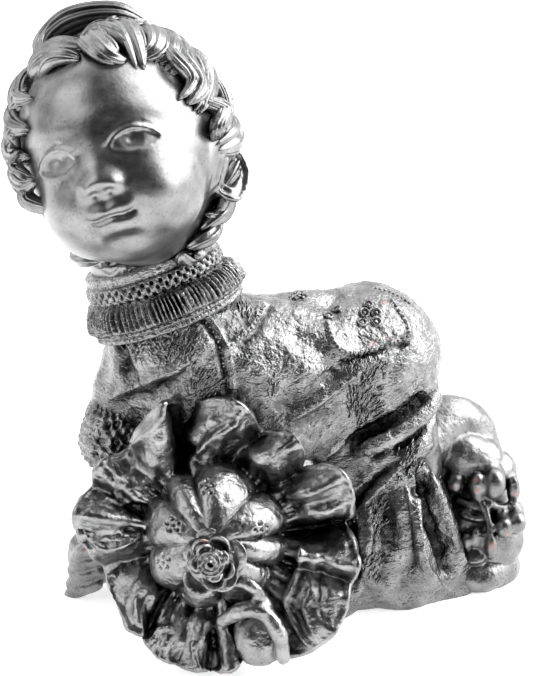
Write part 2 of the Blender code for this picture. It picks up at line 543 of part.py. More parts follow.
def bonnet_axes():
    """The bonnet's own right and up, and the way its crown points."""
    level = math.cos(BONNET_TILT)
    out = np.array((math.sin(BONNET_TURN) * level, -math.cos(BONNET_TURN) * level, math.sin(BONNET_TILT)))
    right = unit(np.cross(out, (0, 0, 1)))
    return -right, np.cross(out, -right), out


def crown(clay, rows=26, sides=192):
    """The bonnet's crown, puffed between the seams that run out from the rose."""
    right, up, out = bonnet_axes()
    turn = np.linspace(0, 2 * math.pi, sides, endpoint=False)[None, :]
    rise = np.linspace(-0.25, 1.0, rows)[:, None] * math.pi / 2
    wander = turn + 0.10 * np.sin(2 * turn + 1) + 0.16 * np.cos(rise) * np.sin(3 * turn)
    puff = np.abs(np.cos(CROWN_PUFFS / 2 * (wander + 0.2))) ** 0.55
    swell = 1.0 + CROWN_PUFF_DEPTH * (puff - 0.62) * np.cos(rise) ** 0.6 * smoothstep(1.5, 0.9, rise)
    reach = CROWN_RADIUS * np.cos(rise) * swell + 0.02
    level = CROWN_HEIGHT * np.sin(rise) * swell
    ring = right * np.cos(turn)[..., None] + up * np.sin(turn)[..., None]
    clay.grid(BONNET_CENTRE + ring * reach[..., None] + out * level[..., None])


def brim(clay, rings=14, sides=300):
    """The bonnet's brim: a thick sheet gathered at the crown, in folds that roll at the rim."""
    right, up, out = bonnet_axes()
    folds = np.array(BRIM_FOLDS, float)
    whole_turn = np.array((360.0, 0, 0, 0))
    folds = curve_through(np.vstack([folds[-3:] - whole_turn, folds, folds[:3] + whole_turn]), 1400)
    turns = np.linspace(0, 360, sides, endpoint=False)
    reach, forward, lean = (np.interp(turns, folds[:, 0], folds[:, k])[:, None] for k in (1, 2, 3))
    share = np.linspace(0, 1, rings)[None, :]
    inner = CROWN_RADIUS * 0.80
    spread = inner + (reach - inner) * share
    angle = np.radians(turns)[:, None]
    level = forward * (0.20 + 0.80 * np.sin(share * math.pi / 2) ** 0.9) + 0.6 * np.sin(9 * angle + 9 * share)
    roll = np.clip((share - 0.66) / 0.34, 0, 1) ** 2.0
    level = level - (1.6 + 3.2 * smoothstep(1, 7, forward)) * roll + 2.5 * (1 - share) ** 3
    angle = angle + np.radians(lean) * share**2 + 0.055 * np.sin(2.8 * share + 4 * angle) * share
    ring = right * np.cos(angle)[..., None] + up * np.sin(angle)[..., None]
    middle = BONNET_CENTRE + ring * spread[..., None] + out * level[..., None]
    round_way = np.roll(middle, -1, axis=0) - np.roll(middle, 1, axis=0)
    normal = np.cross(np.gradient(middle, axis=1), round_way)
    normal /= np.linalg.norm(normal, axis=-1, keepdims=True)
    half = BRIM_THICKNESS / 2
    sheet = np.concatenate([middle + normal * half, (middle - normal * half)[:, ::-1]], axis=1)
    clay.grid(sheet, closed_rows=True)


def rose(clay):
    """The rose on the crown: a spiral bud inside two rings of petals."""
    right, up, out = bonnet_axes()
    base = BONNET_CENTRE + out * (CROWN_HEIGHT - 2.6) - up * 5
    clay.ball(base, (ROSE_RADIUS * 0.8, ROSE_RADIUS * 0.8, 4.0), (right, up, out))
    for ring, (petals, reach, size, rise) in enumerate(((6, 0.95, 4.4, 1.2), (5, 0.66, 3.8, 3.4))):
        for k in range(petals):
            turn = 2 * math.pi * (k + 0.5 * ring) / petals + 0.3
            way = right * math.cos(turn) + up * math.sin(turn)
            flank = np.cross(out, way)
            arc = np.linspace(-0.62, 0.62, 9) * 2 * math.pi / petals * 1.25
            lip = (np.outer(np.cos(arc), way) + np.outer(np.sin(arc), flank)) * ROSE_RADIUS * reach
            tall = size * np.cos(np.linspace(-1.25, 1.25, 9)) * 0.62
            clay.tube(base + out * rise + lip, tall * 0.42 + 0.25, tall, out + way * 0.8, 10)
    turns = np.linspace(0, 2.5 * 2 * math.pi, 70)
    spread = np.interp(turns, (0, turns[-1]), (0.5, 4.4))
    path = base + out * np.interp(turns, (0, turns[-1]), (ROSE_HEIGHT, 4.2))[:, None]
    path = path + right * (np.cos(turns) * spread)[:, None] + up * (np.sin(turns) * spread)[:, None]
    clay.tube(path, np.full(70, 0.72), np.full(70, 1.6), out, 8)


def curled_lobe(clay):
    """The brim's lower lobe, which curls over towards the crown, and the leaf between it and the rose."""
    right, up, out = bonnet_axes()
    for shape in (CURLED_LOBE, LEAF):
        stations = [(*(BONNET_CENTRE + right * a + up * b + out * c), girth) for a, b, c, girth in shape]
        clay.limb(stations)
    clay.ball(BONNET_CENTRE + right * 12 - up * 25 + out * 4, (7.0, 8.5, 4.5), (right, up, out))


def bonnet(clay):
    right, up, out = bonnet_axes()
    crown(clay)
    brim(clay)
    rose(clay)
    curled_lobe(clay)
    # The casting is solid behind the brim, down to the floor
    clay.ball(BONNET_CENTRE - out * 13, (31, 31, 10), (right, up, out))
    clay.ball((-13, -20, 13), (27, 20, 19))


def stand_flat(shell):
    """Cuts the body off level at the floor and closes the cut."""
    body = bmesh.new()
    body.from_mesh(shell.data)
    everything = body.verts[:] + body.edges[:] + body.faces[:]
    cut = bmesh.ops.bisect_plane(body, geom=everything, plane_co=(0, 0, 0), plane_no=(0, 0, -1),
                                 clear_outer=True, dist=1e-5)
    rim = [part for part in cut["geom_cut"] if isinstance(part, bmesh.types.BMEdge)]
    bmesh.ops.triangle_fill(body, edges=rim, use_beauty=True, normal=(0, 0, -1))
    bmesh.ops.recalc_face_normals(body, faces=body.faces[:])
    bmesh.ops.triangulate(body, faces=body.faces[:])
    body.to_mesh(shell.data)
    body.free()


def silver_paint():
    material = bpy.data.materials.new("silver_paint")
    material.use_nodes = True
    shader = material.node_tree.nodes["Principled BSDF"]
    shader.inputs["Base Color"].default_value = (0.62, 0.62, 0.61, 1.0)
    shader.inputs["Metallic"].default_value = 1.0
    shader.inputs["Roughness"].default_value = 0.32
    return material


def facet(body):
    """Thins the mesh to flat triangles, and keeps them finest on the face, the bonnet and the feet."""
    points = points_of(body.data) - PLACE
    forward = head_axes()[0]
    fine = np.full(len(points), 0.80)
    fine = np.where(points @ (0, -1, 0.4) > 38, 0.55, fine)
    fine = np.where((points[:, 0] > 50) & (points[:, 1] < 20), 0.45, fine)
    fine = np.where(np.linalg.norm(points - HEAD_CENTRE, axis=1) < 40, 0.62, fine)
    fine = np.where(((points - HEAD_CENTRE) @ forward > 14) & (points[:, 2] > CHIN_LEVEL), 0.10, fine)
    group = body.vertex_groups.new(name="Coarseness")
    for level in np.unique(fine):
        group.add(np.flatnonzero(fine == level).tolist(), float(level), "REPLACE")
    fewer = body.modifiers.new("Facets", "DECIMATE")
    fewer.ratio = TRIANGLES / (2 * len(body.data.polygons))
    fewer.vertex_group = group.name
    fewer.vertex_group_factor = FACET_WEIGHT
    mesh = bpy.data.meshes.new_from_object(body.evaluated_get(bpy.context.evaluated_depsgraph_get()))
    body.modifiers.clear()
    body.vertex_groups.clear()
    body.data = mesh


def figurine():
    dress = fuse("dress", dress_clay(), DRESS_VOXEL, DRESS_SOFTENING)
    carve(dress, FOLDS)
    clay = Clay()
    clay.add(points_of(dress.data), [tuple(face.vertices) for face in dress.data.polygons])
    bpy.data.objects.remove(dress)
    head(clay)
    ear(clay, 1)
    ear(clay, -1)
    hair(clay)
    collar(clay)
    legs(clay)
    arm(clay)
    bonnet(clay)
    clay.points = [points + PLACE for points in clay.points]
    body = fuse("crawling_child_figurine", clay, VOXEL, SOFTENING)
    facet(body)
    stand_flat(body)
    body.data.transform(Matrix.Scale(UNIT, 4))
    body.data.shade_smooth()
    body.data.set_sharp_from_angle(angle=math.radians(50))
    body.data.materials.append(silver_paint())
    return body


def main():
    for old in list(bpy.data.objects):
        bpy.data.objects.remove(old)
    figurine()


main()
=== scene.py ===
import json
import math

import bmesh
import bpy
import numpy as np
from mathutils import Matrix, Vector, noise
from mathutils.bvhtree import BVHTree
from mathutils.kdtree import KDTree

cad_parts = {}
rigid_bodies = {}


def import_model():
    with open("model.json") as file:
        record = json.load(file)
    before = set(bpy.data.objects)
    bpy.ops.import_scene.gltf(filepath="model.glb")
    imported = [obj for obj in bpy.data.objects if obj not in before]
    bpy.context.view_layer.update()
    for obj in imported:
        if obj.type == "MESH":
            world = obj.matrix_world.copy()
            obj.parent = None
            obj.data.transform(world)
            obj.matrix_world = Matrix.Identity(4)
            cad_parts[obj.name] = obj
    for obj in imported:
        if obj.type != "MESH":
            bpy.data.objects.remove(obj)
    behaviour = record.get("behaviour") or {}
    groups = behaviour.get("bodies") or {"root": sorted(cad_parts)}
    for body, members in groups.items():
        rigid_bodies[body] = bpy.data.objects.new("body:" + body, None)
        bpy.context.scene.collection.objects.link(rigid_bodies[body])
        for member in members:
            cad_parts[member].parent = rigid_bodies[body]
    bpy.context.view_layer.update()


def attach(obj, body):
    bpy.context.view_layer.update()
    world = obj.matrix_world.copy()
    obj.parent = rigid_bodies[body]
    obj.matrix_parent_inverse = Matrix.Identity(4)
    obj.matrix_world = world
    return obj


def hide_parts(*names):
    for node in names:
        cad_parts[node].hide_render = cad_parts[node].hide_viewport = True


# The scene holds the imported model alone, without the objects that Blender starts with
for old in list(bpy.data.objects):
    bpy.data.objects.remove(old)
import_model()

# The figure is built in units of its own canon, from the floor up, and moved to its place in the frame
FIGURE_HEIGHT = 0.172
CANON = 172.0
UNIT = FIGURE_HEIGHT / CANON
PLACE = np.array((-4.2, 3.2, 0.0))

# The picture's size in pixels, and the camera in the figure's units
PICTURE_WIDTH = 533
PICTURE_HEIGHT = 676
CAMERA_DISTANCE = 600.0
CAMERA_DOWN = math.radians(22.0)
CAMERA_FOCUS = 2220.0
CAMERA_TARGET = np.array((0.0, 0.0, 79.0))
CAMERA_BACK = np.array((0.0, -math.cos(CAMERA_DOWN), math.sin(CAMERA_DOWN)))
CAMERA_UP = np.array((0.0, math.sin(CAMERA_DOWN), math.cos(CAMERA_DOWN)))

# The room's soft windows: the way to each, the angles in degrees where its glow ends and is full, and its
# strength. The gloom is the light of the room between them
ROOM_WINDOWS = (
    ((0.0, 0.93, -0.37), 150.0, 70.0, 0.62),
    ((0.72, 0.26, 0.64), 42.0, 12.0, 5.5),
    ((-0.80, -0.25, 0.62), 34.0, 8.0, 2.0),
    ((0.95, -0.05, 0.30), 36.0, 10.0, 2.0),
    ((-0.2, 0.80, 0.55), 60.0, 25.0, 0.9),
)
ROOM_GLOOM = 0.03

# The ground: half its side in metres, its grey and its own glow
GROUND_REACH = 3.0
GROUND_GREY = 0.93
GROUND_GLOW = 0.66

# Each look of the paint: roughness, the grain's scale, its bump and its streaks, the dark and the bright
# tone, how black the hollows go, how black the places that the sky can't reach go as painted shade, and how
# strong the dark specks are
LOOKS = {
    "skin": (0.32, 900.0, 0.10, 0.3, (0.19, 0.31), (0.35, 0.60), 0.45),
    "limb": (0.34, 900.0, 0.35, 0.6, (0.17, 0.30), (0.70, 0.75), 0.7),
    "hair": (0.30, 1100.0, 0.22, 0.8, (0.18, 0.34), (0.70, 0.75), 0.5),
    "cloth": (0.25, 1100.0, 0.65, 1.2, (0.16, 0.34), (0.95, 0.95), 0.9),
    "bonnet": (0.29, 900.0, 0.40, 0.7, (0.22, 0.38), (0.65, 0.90), 0.6),
}
# The scales of its noises to a metre, and the grain's height in metres
MOTTLE_SCALE = 210.0
SPECK_SCALE = 1500.0
SPECK_PATCH_SCALE = 260.0
WEAR_SCALE = 900.0
GLOSS_SCALE = 420.0
GRAIN_HEIGHT = 0.0006
# How the depth of a hollow is found: rounds of smoothing, and the depth that counts as full
HOLLOW_ROUNDS = 14
HOLLOW_DEPTH = 0.8

# Voxel sizes of the fused pieces, and the rounds that soften the rough dress before its folds are carved
ROUGH_VOXEL = 1.5
ROUGH_SOFTENING = 26
HEAD_VOXEL = 0.52
DRESS_VOXEL = 0.68
LIMB_VOXEL = 0.50
BACK_VOXEL = 0.90
ROSE_VOXEL = 0.31

# Folds, seams and hems of the dress: radius, height, and the places in the picture that each runs through
DRESS_LINES = (
    (1.3, 1.5, ((292, 417), (318, 402), (347, 380), (375, 358), (392, 348))),
    (2.6, -1.3, ((288, 405), (312, 392), (338, 370))),
    (2.2, 2.0, ((358, 449), (378, 441), (399, 430), (426, 408), (434, 396))),
    (1.4, -1.5, ((352, 438), (374, 428), (396, 416), (420, 398))),
    (1.6, -2.0, ((374, 458), (398, 446), (420, 432), (434, 416))),
    (0.7, 0.9, ((364, 445), (371, 438), (383, 436), (391, 442), (384, 450), (372, 452), (364, 446))),
    (0.7, 0.8, ((371, 445), (378, 441), (384, 443), (378, 448), (371, 446))),
    (1.3, 1.1, ((350, 522), (364, 504), (380, 488), (394, 473), (408, 459))),
    (0.9, -1.0, ((346, 512), (362, 492), (378, 476), (396, 464))),
    (1.0, 1.8, ((409, 476), (415, 500), (418, 530), (424, 563), (437, 586))),
    (2.0, -1.6, ((404, 490), (408, 530), (410, 566))),
    (2.2, -2.2, ((420, 482), (428, 510), (438, 545), (446, 568))),
    (1.3, 1.7, ((430, 476), (441, 500), (450, 524), (456, 548))),
    (1.6, -1.6, ((446, 480), (456, 505), (462, 530))),
    (1.2, 1.1, ((366, 500), (370, 530), (366, 565), (358, 592))),
    (2.0, -1.1, ((384, 500), (388, 540), (384, 580))),
    (1.4, 1.6, ((112, 396), (128, 390), (148, 382), (170, 372), (186, 362))),
    (2.8, -2.4, ((134, 400), (148, 396), (164, 388))),
    (1.1, 1.2, ((127, 322), (149, 313), (174, 311))),
    (1.3, -1.0, ((120, 326), (118, 338), (125, 352), (128, 370))),
    (1.0, -1.0, ((183, 306), (199, 316), (211, 330), (219, 346), (223, 366), (227, 392))),
    (0.7, 0.8, ((188, 303), (205, 314), (217, 328), (225, 345), (230, 366), (232, 388))),
    (0.9, 0.9, ((264, 304), (258, 318), (249, 330), (238, 340), (225, 349))),
    (1.2, -0.9, ((268, 309), (262, 322), (253, 335), (240, 346))),
    (3.2, -1.2, ((300, 340), (316, 348), (330, 362), (338, 372))),
    (1.0, -1.2, ((345, 361), (362, 357), (384, 351), (407, 343))),
    (0.8, 1.0, ((328, 322), (331, 335), (340, 349), (356, 352), (376, 348), (394, 342), (408, 336))),
    (0.8, 0.9, ((392, 302), (400, 312), (407, 325), (409, 336))),
)

# The crown's clusters of eyelets, as places in the picture
EYELET_SPREAD = (6.0, 6.5)
EYELETS = ((207, 487), (173, 525), (163, 562), (262, 530), (268, 570), (178, 598))

# Patches of short strokes: their box in the picture, how many, heading and its spread in degrees, length
STROKE_PATCHES = (
    (150, 314, 197, 366, 130, 85, 35, 10), (187, 366, 224, 396, 60, 60, 40, 9),
    (237, 296, 264, 320, 40, 80, 20, 10), (290, 292, 306, 300, 14, 20, 30, 6),
    (268, 374, 281, 394, 12, 80, 40, 9), (343, 352, 387, 376, 80, 75, 25, 10),
    (348, 376, 382, 420, 110, 60, 40, 10), (369, 496, 389, 534, 40, 60, 25, 11),
    (362, 550, 386, 580, 34, 60, 30, 10), (122, 330, 148, 360, 30, 80, 40, 8),
    (396, 440, 430, 480, 34, 60, 25, 9),
)
# A stroke: its two half thicknesses, and the longest step at which it still lies on one surface
STROKE_HALF_WIDTH = 0.34
STROKE_HALF_HEIGHT = 0.62
LONGEST_STEP = 1.6
# The beads with a ring round them: their places in the picture, the ring's radius and its half thickness
RING_RADIUS = 1.15
RING_GIRTH = 0.45
RING_BEADS = ((368, 305), (364, 313), (376, 313), (362, 323), (376, 322), (328, 316), (337, 310))
# Lines of beads: a bead's radius, the gap between two, and the places in the picture that they run through
BEAD_LINES = (
    (0.62, 1.5, ((341, 351), (356, 353), (376, 349), (394, 343), (408, 336))),
    (0.50, 1.5, ((327, 322), (330, 335), (339, 348))),
    (0.50, 1.9, ((392, 300), (400, 311), (407, 324), (410, 335))),
    (0.50, 1.5, ((184, 306), (200, 317), (212, 331), (220, 347), (224, 366))),
    (0.45, 1.4, ((376, 288), (388, 291), (400, 297), (409, 303))),
    (0.45, 1.6, ((264, 306), (257, 320), (247, 333), (236, 342), (225, 349))),
    (0.42, 1.5, ((354, 521), (368, 505), (382, 491), (396, 476), (408, 462))),
)

# The black that darkens the hollows and the dark specks, and paints shade over the places that the sky can't
# reach; and the pink ground where the paint has worn off
SPECK_AND_SHADE_BLACK = (0.012, 0.012, 0.013)
WORN_PINK = (0.42, 0.21, 0.21)
# Where it has worn off, by piece: a place in the picture, and the radius of the spot
WORN_SPOTS = {
    "limbs": ((475, 480, 0.9), (477, 490, 0.8), (515, 494, 0.8), (451, 488, 0.7), (492, 546, 1.2),
              (508, 534, 0.8), (64, 562, 1.0)),
    "rose": ((246, 548, 0.8), (204, 539, 0.9)),
    "dress": ((384, 302, 0.7), (373, 343, 0.7), (388, 339, 0.5)),
}

# The rays that find what the sky reaches, for the painted shade: from one point in so many, how many rays,
# how far off the surface they start, how far they reach, and the rounds that spread what they find
SHADE_STEP = 12
SHADE_RAYS = 20
SHADE_LIFT = 0.3
SHADE_REACH = 22.0
SHADE_SPREAD = 16

# The head: its centre, half sizes and pose, the face's own heights and widths, and the hair's thickness
HEAD_CENTRE = np.array((-36.5, -9.0, 134.5))
HEAD_HALF_DEPTH = 28.5
HEAD_HALF_WIDTH = 25.0
HEAD_HALF_HEIGHT = 30.0
HEAD_TURN = math.radians(17.0)
HEAD_RAISE = math.radians(26.0)
HEAD_ROLL = math.radians(22.0)
EYE_HEIGHT = -5.0
EYE_SPREAD = 10.2
EYE_HALF_WIDTH = 5.6
NOSE_HEIGHT = 4.3
MOUTH_HEIGHT = -18.8
MOUTH_HALF_WIDTH = 6.0
# Rises and hollows of the face, each with its middle, its two radii and how far it stands out. In turn: brow,
# three of the nose, mouth, the groove over it, the hollow under it, and chin
MIDDLE_HILLS = (
    (0, 14, 17, 11, 1.8),
    (0, -11.6, 3.3, 2.8, 0.76 * NOSE_HEIGHT),
    (0, -8.0, 4.2, 3.8, 0.22 * NOSE_HEIGHT),
    (0, -3.0, 5.4, 5.0, 0.14 * NOSE_HEIGHT),
    (0, MOUTH_HEIGHT, 9.0, 5.5, 2.4),
    (0, -16.1, 1.2, 1.4, -0.25),
    (0, -23.4, 6.0, 2.4, -0.45),
    (0, -27.0, 5.6, 3.6, 2.2),
)
# Those that lie on both sides: socket, brow, cheek, jowl, nostril and its opening, and the mouth's corner
PAIRED_HILLS = (
    (EYE_SPREAD, EYE_HEIGHT + 0.4, 7.4, 5.4, -2.6),
    (9.8, 3.2, 8.0, 3.2, 0.8),
    (13.0, -15.5, 8.5, 7.5, 4.2),
    (9.5, -22.5, 8.0, 6.0, 2.2),
    (3.4, -12.5, 2.0, 1.9, 0.42 * NOSE_HEIGHT),
    (1.75, -13.9, 1.0, 0.6, -1.2),
    (MOUTH_HALF_WIDTH + 0.5, MOUTH_HEIGHT, 1.8, 1.9, -0.6),
)
HAIR_DEPTH = 2.2
LOCK_WIDTH = 3.7
LOCK_DEPTH = 2.4
QUIFF_STRANDS = 8
# The roll of hair over the brow: its path forward, left and up from the head's centre, and at five shares of
# the path how far its strands spread and how thick they are
QUIFF_PATH = ((2, 15, 29.0), (3, 9, 32.0), (4, 2, 33.5), (6, -5, 32.5), (9, -10, 29.0), (13, -11, 25.0),
              (17, -7, 22.5))
QUIFF_SPREADS = ((0, 0.15, 0.5, 0.8, 1), (0.2, 0.8, 1.1, 0.9, 0.2))
QUIFF_GIRTHS = ((0, 0.15, 0.45, 0.75, 1), (0.8, 2.3, 2.9, 2.3, 0.7))
# How far round the rows of locks leave the front bare, by how far from the crown they start, in radians, and
# how much further on the side of the ear that shows
BARE_FRONT = ((0.2, 0.6, 1.0, 1.4, 2.2), (0.2, 0.9, 1.35, 1.65, 2.0))
BARE_SIDE = 0.3
# Rows of locks down the back of the head: how far from the crown in radians, how many, how long
LOCK_ROWS = ((0.30, 9, 18), (0.55, 15, 19), (0.90, 20, 20), (1.28, 24, 19), (1.64, 24, 18), (1.98, 21, 16),
             (2.24, 16, 12))
# The short locks that swirl round the crown, in the same way
CROWN_SWIRLS = ((0.05, 4, 9), (0.16, 6, 13))
# Locks round the face: width, depth, then the directions from the head's centre (forward, left, up)
FACE_LOCKS = (
    (2.2, 1.8, ((0.59, 0.0, 0.81), (0.49, 0.17, 0.85), (0.56, 0.39, 0.73), (0.62, 0.46, 0.64))),
    (2.8, 2.0, ((0.40, 0.11, 0.91), (0.64, 0.16, 0.75), (0.76, 0.29, 0.58), (0.72, 0.42, 0.55))),
    (2.4, 2.0, ((0.24, 0.22, 0.95), (0.36, 0.34, 0.86), (0.56, 0.47, 0.68), (0.70, 0.55, 0.46))),
    (2.4, 2.2, ((0.14, 0.44, 0.89), (0.26, 0.56, 0.78), (0.48, 0.62, 0.63), (0.62, 0.55, 0.57))),
    (2.2, 2.0, ((0.10, 0.53, 0.84), (0.20, 0.66, 0.73), (0.40, 0.72, 0.58), (0.54, 0.66, 0.52))),
    (2.4, 2.2, ((0.02, 0.60, 0.80), (0.14, 0.75, 0.65), (0.36, 0.79, 0.50), (0.52, 0.74, 0.42))),
    (3.4, 2.4, ((0.06, 0.62, 0.78), (0.34, 0.80, 0.50), (0.34, 0.90, 0.28), (0.50, 0.86, 0.12))),
    (3.4, 2.6, ((0.03, 0.65, 0.76), (-0.02, 0.81, 0.59), (0.10, 0.93, 0.34), (0.36, 0.92, 0.04))),
    (3.6, 2.6, ((-0.05, 0.73, 0.69), (-0.15, 0.89, 0.42), (-0.22, 0.96, 0.14), (-0.16, 0.98, -0.06))),
    (2.6, 2.4, ((0.24, 0.95, 0.16), (0.08, 1.0, 0.06), (0.22, 0.97, -0.10), (0.12, 0.97, -0.20))),
    (2.8, 2.4, ((-0.26, 0.96, 0.08), (-0.29, 0.95, -0.09), (-0.08, 0.97, -0.22), (0.14, 0.93, -0.32))),
    (3.6, 2.6, ((0.68, 0.06, 0.73), (0.62, -0.18, 0.76), (0.55, -0.40, 0.73), (0.50, -0.52, 0.69))),
    (3.6, 2.6, ((0.43, -0.42, 0.80), (0.46, -0.58, 0.67), (0.47, -0.70, 0.54), (0.48, -0.77, 0.42))),
    (2.4, 2.2, ((0.49, -0.46, 0.75), (0.46, -0.60, 0.65), (0.58, -0.60, 0.55), (0.72, -0.48, 0.50))),
    (2.6, 2.2, ((0.60, -0.60, 0.53), (0.46, -0.74, 0.49), (0.56, -0.75, 0.36), (0.76, -0.60, 0.26))),
    (2.8, 2.4, ((0.57, -0.75, 0.34), (0.45, -0.85, 0.26), (0.46, -0.88, 0.12), (0.72, -0.69, 0.03))),
    (2.4, 2.2, ((0.60, -0.79, 0.10), (0.52, -0.85, -0.03), (0.60, -0.77, -0.18), (0.70, -0.68, -0.20))),
    (2.4, 2.2, ((0.58, -0.80, -0.18), (0.52, -0.80, -0.30), (0.56, -0.68, -0.47))),
    (2.2, 2.0, ((0.27, 0.13, 0.95), (0.22, 0.20, 0.96), (0.10, 0.28, 0.95), (0.16, 0.36, 0.92))),
    (2.4, 2.2, ((0.20, 0.32, 0.93), (0.10, 0.38, 0.92), (0.02, 0.47, 0.88), (0.12, 0.54, 0.84))),
    (3.2, 2.6, ((-0.35, 0.80, -0.48), (-0.34, 0.70, -0.62), (-0.30, 0.60, -0.74), (-0.20, 0.55, -0.81))),
)

# The ear's section: share of its reach, and height
EAR_PROFILE = (
    (0.05, -1.2), (0.30, -1.3), (0.44, -0.6), (0.54, 0.6), (0.62, 0.8), (0.70, 0.2), (0.77, 0.0), (0.84, 1.3),
    (0.92, 2.0), (1.0, 1.6), (1.03, 0.6), (0.90, -1.0), (0.40, -2.8),
)

# The neck and its collar
NECK_BASE = np.array((-28.2, -4.0, 94.5))
NECK_RISE = np.array((-0.33, 0.12, 0.93))
NECK_RADIUS = 15.6
COLLAR_RADIUS = 18.6
COLLAR_PLEATS = 96
PLEAT_DEPTH = 0.65
LACE_HOLES = 46
LACE_DEPTH = 1.3
BAND_LEVEL = 7.0
TAB_TURN = math.radians(-28.0)
# The collar's section from its top, down outside and back up inside: height, spread, pleating and lace
COLLAR_PROFILE = (
    (10.6, -5.0, 0, 0), (10.9, -1.6, 0, 0), (10.0, -0.7, 0, 0), (8.2, -0.7, 0, 0), (7.4, -1.0, 0, 0),
    (6.9, -0.2, 0, 0.2), (6.0, 0.3, 0, 1), (4.6, 0.5, 0, 1), (3.2, 0.4, 0, 1), (2.6, -0.2, 0, 0.2),
    (2.2, 0.1, 0.3, 0), (1.4, 1.3, 0.9, 0), (-0.4, 2.3, 1, 0), (-2.4, 2.9, 1, 0), (-4.0, 3.1, 1, 0),
    (-4.6, 2.6, 0.9, 0), (-4.3, 1.6, 0.5, 0), (-4.8, 1.9, 0.2, 0), (-5.6, 2.2, 0.2, 0), (-6.0, 1.6, 0.2, 0),
    (-6.6, 1.9, 0.2, 0), (-7.3, 1.9, 0.2, 0), (-7.8, 0.8, 0.1, 0), (-7.6, -5.0, 0, 0),
)

# The bonnet: centre, tilt and radii
BONNET_CENTRE = np.array((-13.5, -29.5, 34.5))
BONNET_TILT = math.radians(20.0)
BONNET_TURN = math.radians(-3.0)
CROWN_RADIUS = 18.5
CROWN_HEIGHT = 16.0
CROWN_PUFFS = 8
CROWN_PUFF_DEPTH = 0.20
BRIM_THICKNESS = 2.4
# The brim's crests and valleys, in turn round the crown: place in degrees at the crown and at the rim, reach,
# and height forward
BRIM_FOLDS = (
    (4, 5, 34.6, -8.5), (11, 14, 37.4, 2.5), (29, 27, 39.0, 6.0), (44, 38, 29.4, -0.5), (66, 50, 34.4, 6.5),
    (84, 66, 30.4, -0.5), (101, 78, 36.2, 6.5), (113, 94, 36.4, 2.5), (121, 105, 36.0, -8.0),
    (130, 110, 38.6, 8.5), (146, 133, 33.4, 1.5), (157, 149, 36.2, 4.0), (165, 159, 35.8, 1.5),
    (172, 170, 37.4, 6.5),
    (181, 180, 36.2, 4.5), (187, 188, 34.0, 3.0), (198, 197, 31.5, -5.0), (212, 211, 32.8, -3.0),
    (220, 230, 33.8, 2.5), (228, 236, 33.6, 0.0), (235, 241, 34.8, 1.5), (243, 248, 36.2, 3.0),
    (252, 255, 36.6, 0.5), (262, 263, 36.8, 2.5), (269, 270, 36.6, 0.0), (276, 278, 36.0, 3.5),
    (284, 286, 34.0, -5.0), (294, 297, 36.4, 2.5), (306, 308, 40.0, 1.5), (322, 323, 41.0, 4.0),
    (334, 336, 39.6, 2.5), (342, 343, 38.6, 0.5), (350, 351, 39.4, 6.0),
)
# Ridges and grooves across its folds, as those of the dress
BRIM_LINES = (
    (1.0, 1.3, ((165, 400), (159, 421), (147, 434), (135, 444))),
    (1.6, -1.0, ((171, 404), (177, 429), (181, 458), (179, 474))),
    (1.5, -1.1, ((240, 411), (225, 421), (205, 431), (194, 444), (186, 452))),
    (1.0, 0.9, ((236, 424), (214, 436), (198, 452))),
    (1.5, -1.1, ((287, 438), (276, 449), (262, 462))),
    (0.9, 1.0, ((332, 485), (311, 491), (288, 497))),
    (1.5, -1.1, ((335, 500), (316, 504), (296, 509))),
    (1.9, -1.2, ((298, 534), (314, 527), (332, 521), (344, 526))),
    (0.9, 1.4, ((301, 549), (299, 567), (291, 586), (286, 604), (299, 631), (311, 645))),
    (0.9, 1.3, ((138, 600), (139, 616), (141, 633))),
    (0.9, 1.2, ((152, 640), (157, 631), (170, 628))),
    (0.9, 1.2, ((194, 645), (195, 655), (198, 667))),
    (0.9, 1.3, ((227, 634), (230, 645), (235, 664))),
    (1.2, -1.0, ((148, 600), (150, 618), (156, 640))),
    (1.4, -1.0, ((212, 634), (214, 650), (216, 664))),
    (0.9, 1.0, ((112, 481), (118, 497), (128, 503))),
    (1.3, -1.1, ((128, 506), (140, 508), (152, 507))),
    (1.0, 1.2, ((86, 534), (103, 548), (122, 545), (137, 536))),
    (1.3, -1.0, ((100, 536), (114, 535), (126, 531))),
    (1.0, 1.0, ((310, 590), (305, 610), (314, 634))),
    (1.2, -0.9, ((322, 560), (320, 590), (322, 618))),
)
# The dark holes at its rolled tips
BRIM_HOLES = ((241, 410), (288, 437), (350, 546))
SIDES_PER_FOLD = 17
# Where the brim sinks deepest before it meets the crown: place, breadth in degrees and depth
BRIM_GAPS = ((62, 46, 3.6), (226, 48, 4.2), (128, 12, 3.0), (300, 20, 1.5))
# The curled lobe and the leaf over it: rows of right, up, forward and girth from the bonnet's centre
CURLED_LOBE = (
    (2.7, -21.5, 8, 1.8), (8.5, -18, 11, 2.4), (14.3, -19, 11.5, 2.4), (17.8, -24.4, 10.5, 2.2),
    (18.8, -31.3, 6, 2.0),
)
LEAF = ((4.5, -10.5, 12, 1.2), (10, -11.4, 13, 1.9), (15, -16.4, 10, 1.2))
ROSE_RADIUS = 9.0
ROSE_HEIGHT = 5.6
PETAL_THICKNESS = 0.9

# The knitted cuff of the far sleeve, and the ways to its pits
CUFF_CENTRE = np.array((-41.5, -1.5, 51.0))
CUFF_RADII = np.array((9.8, 10.4, 11.4))
CUFF_PITS = (
    (0.1, -0.8, 0.6), (0.35, -0.9, 0.3), (0.3, -0.95, -0.1), (-0.1, -0.9, -0.45), (-0.3, -0.9, 0.2),
    (0.55, -0.8, 0.05), (-0.5, -0.8, -0.25), (0.1, -0.95, 0.15), (-0.15, -0.8, 0.55), (-0.7, -0.6, 0.2),
    (0.0, -0.75, -0.7), (-0.4, -0.6, -0.65), (0.5, -0.6, 0.6), (0.3, -0.8, -0.55), (-0.65, -0.6, -0.5),
)

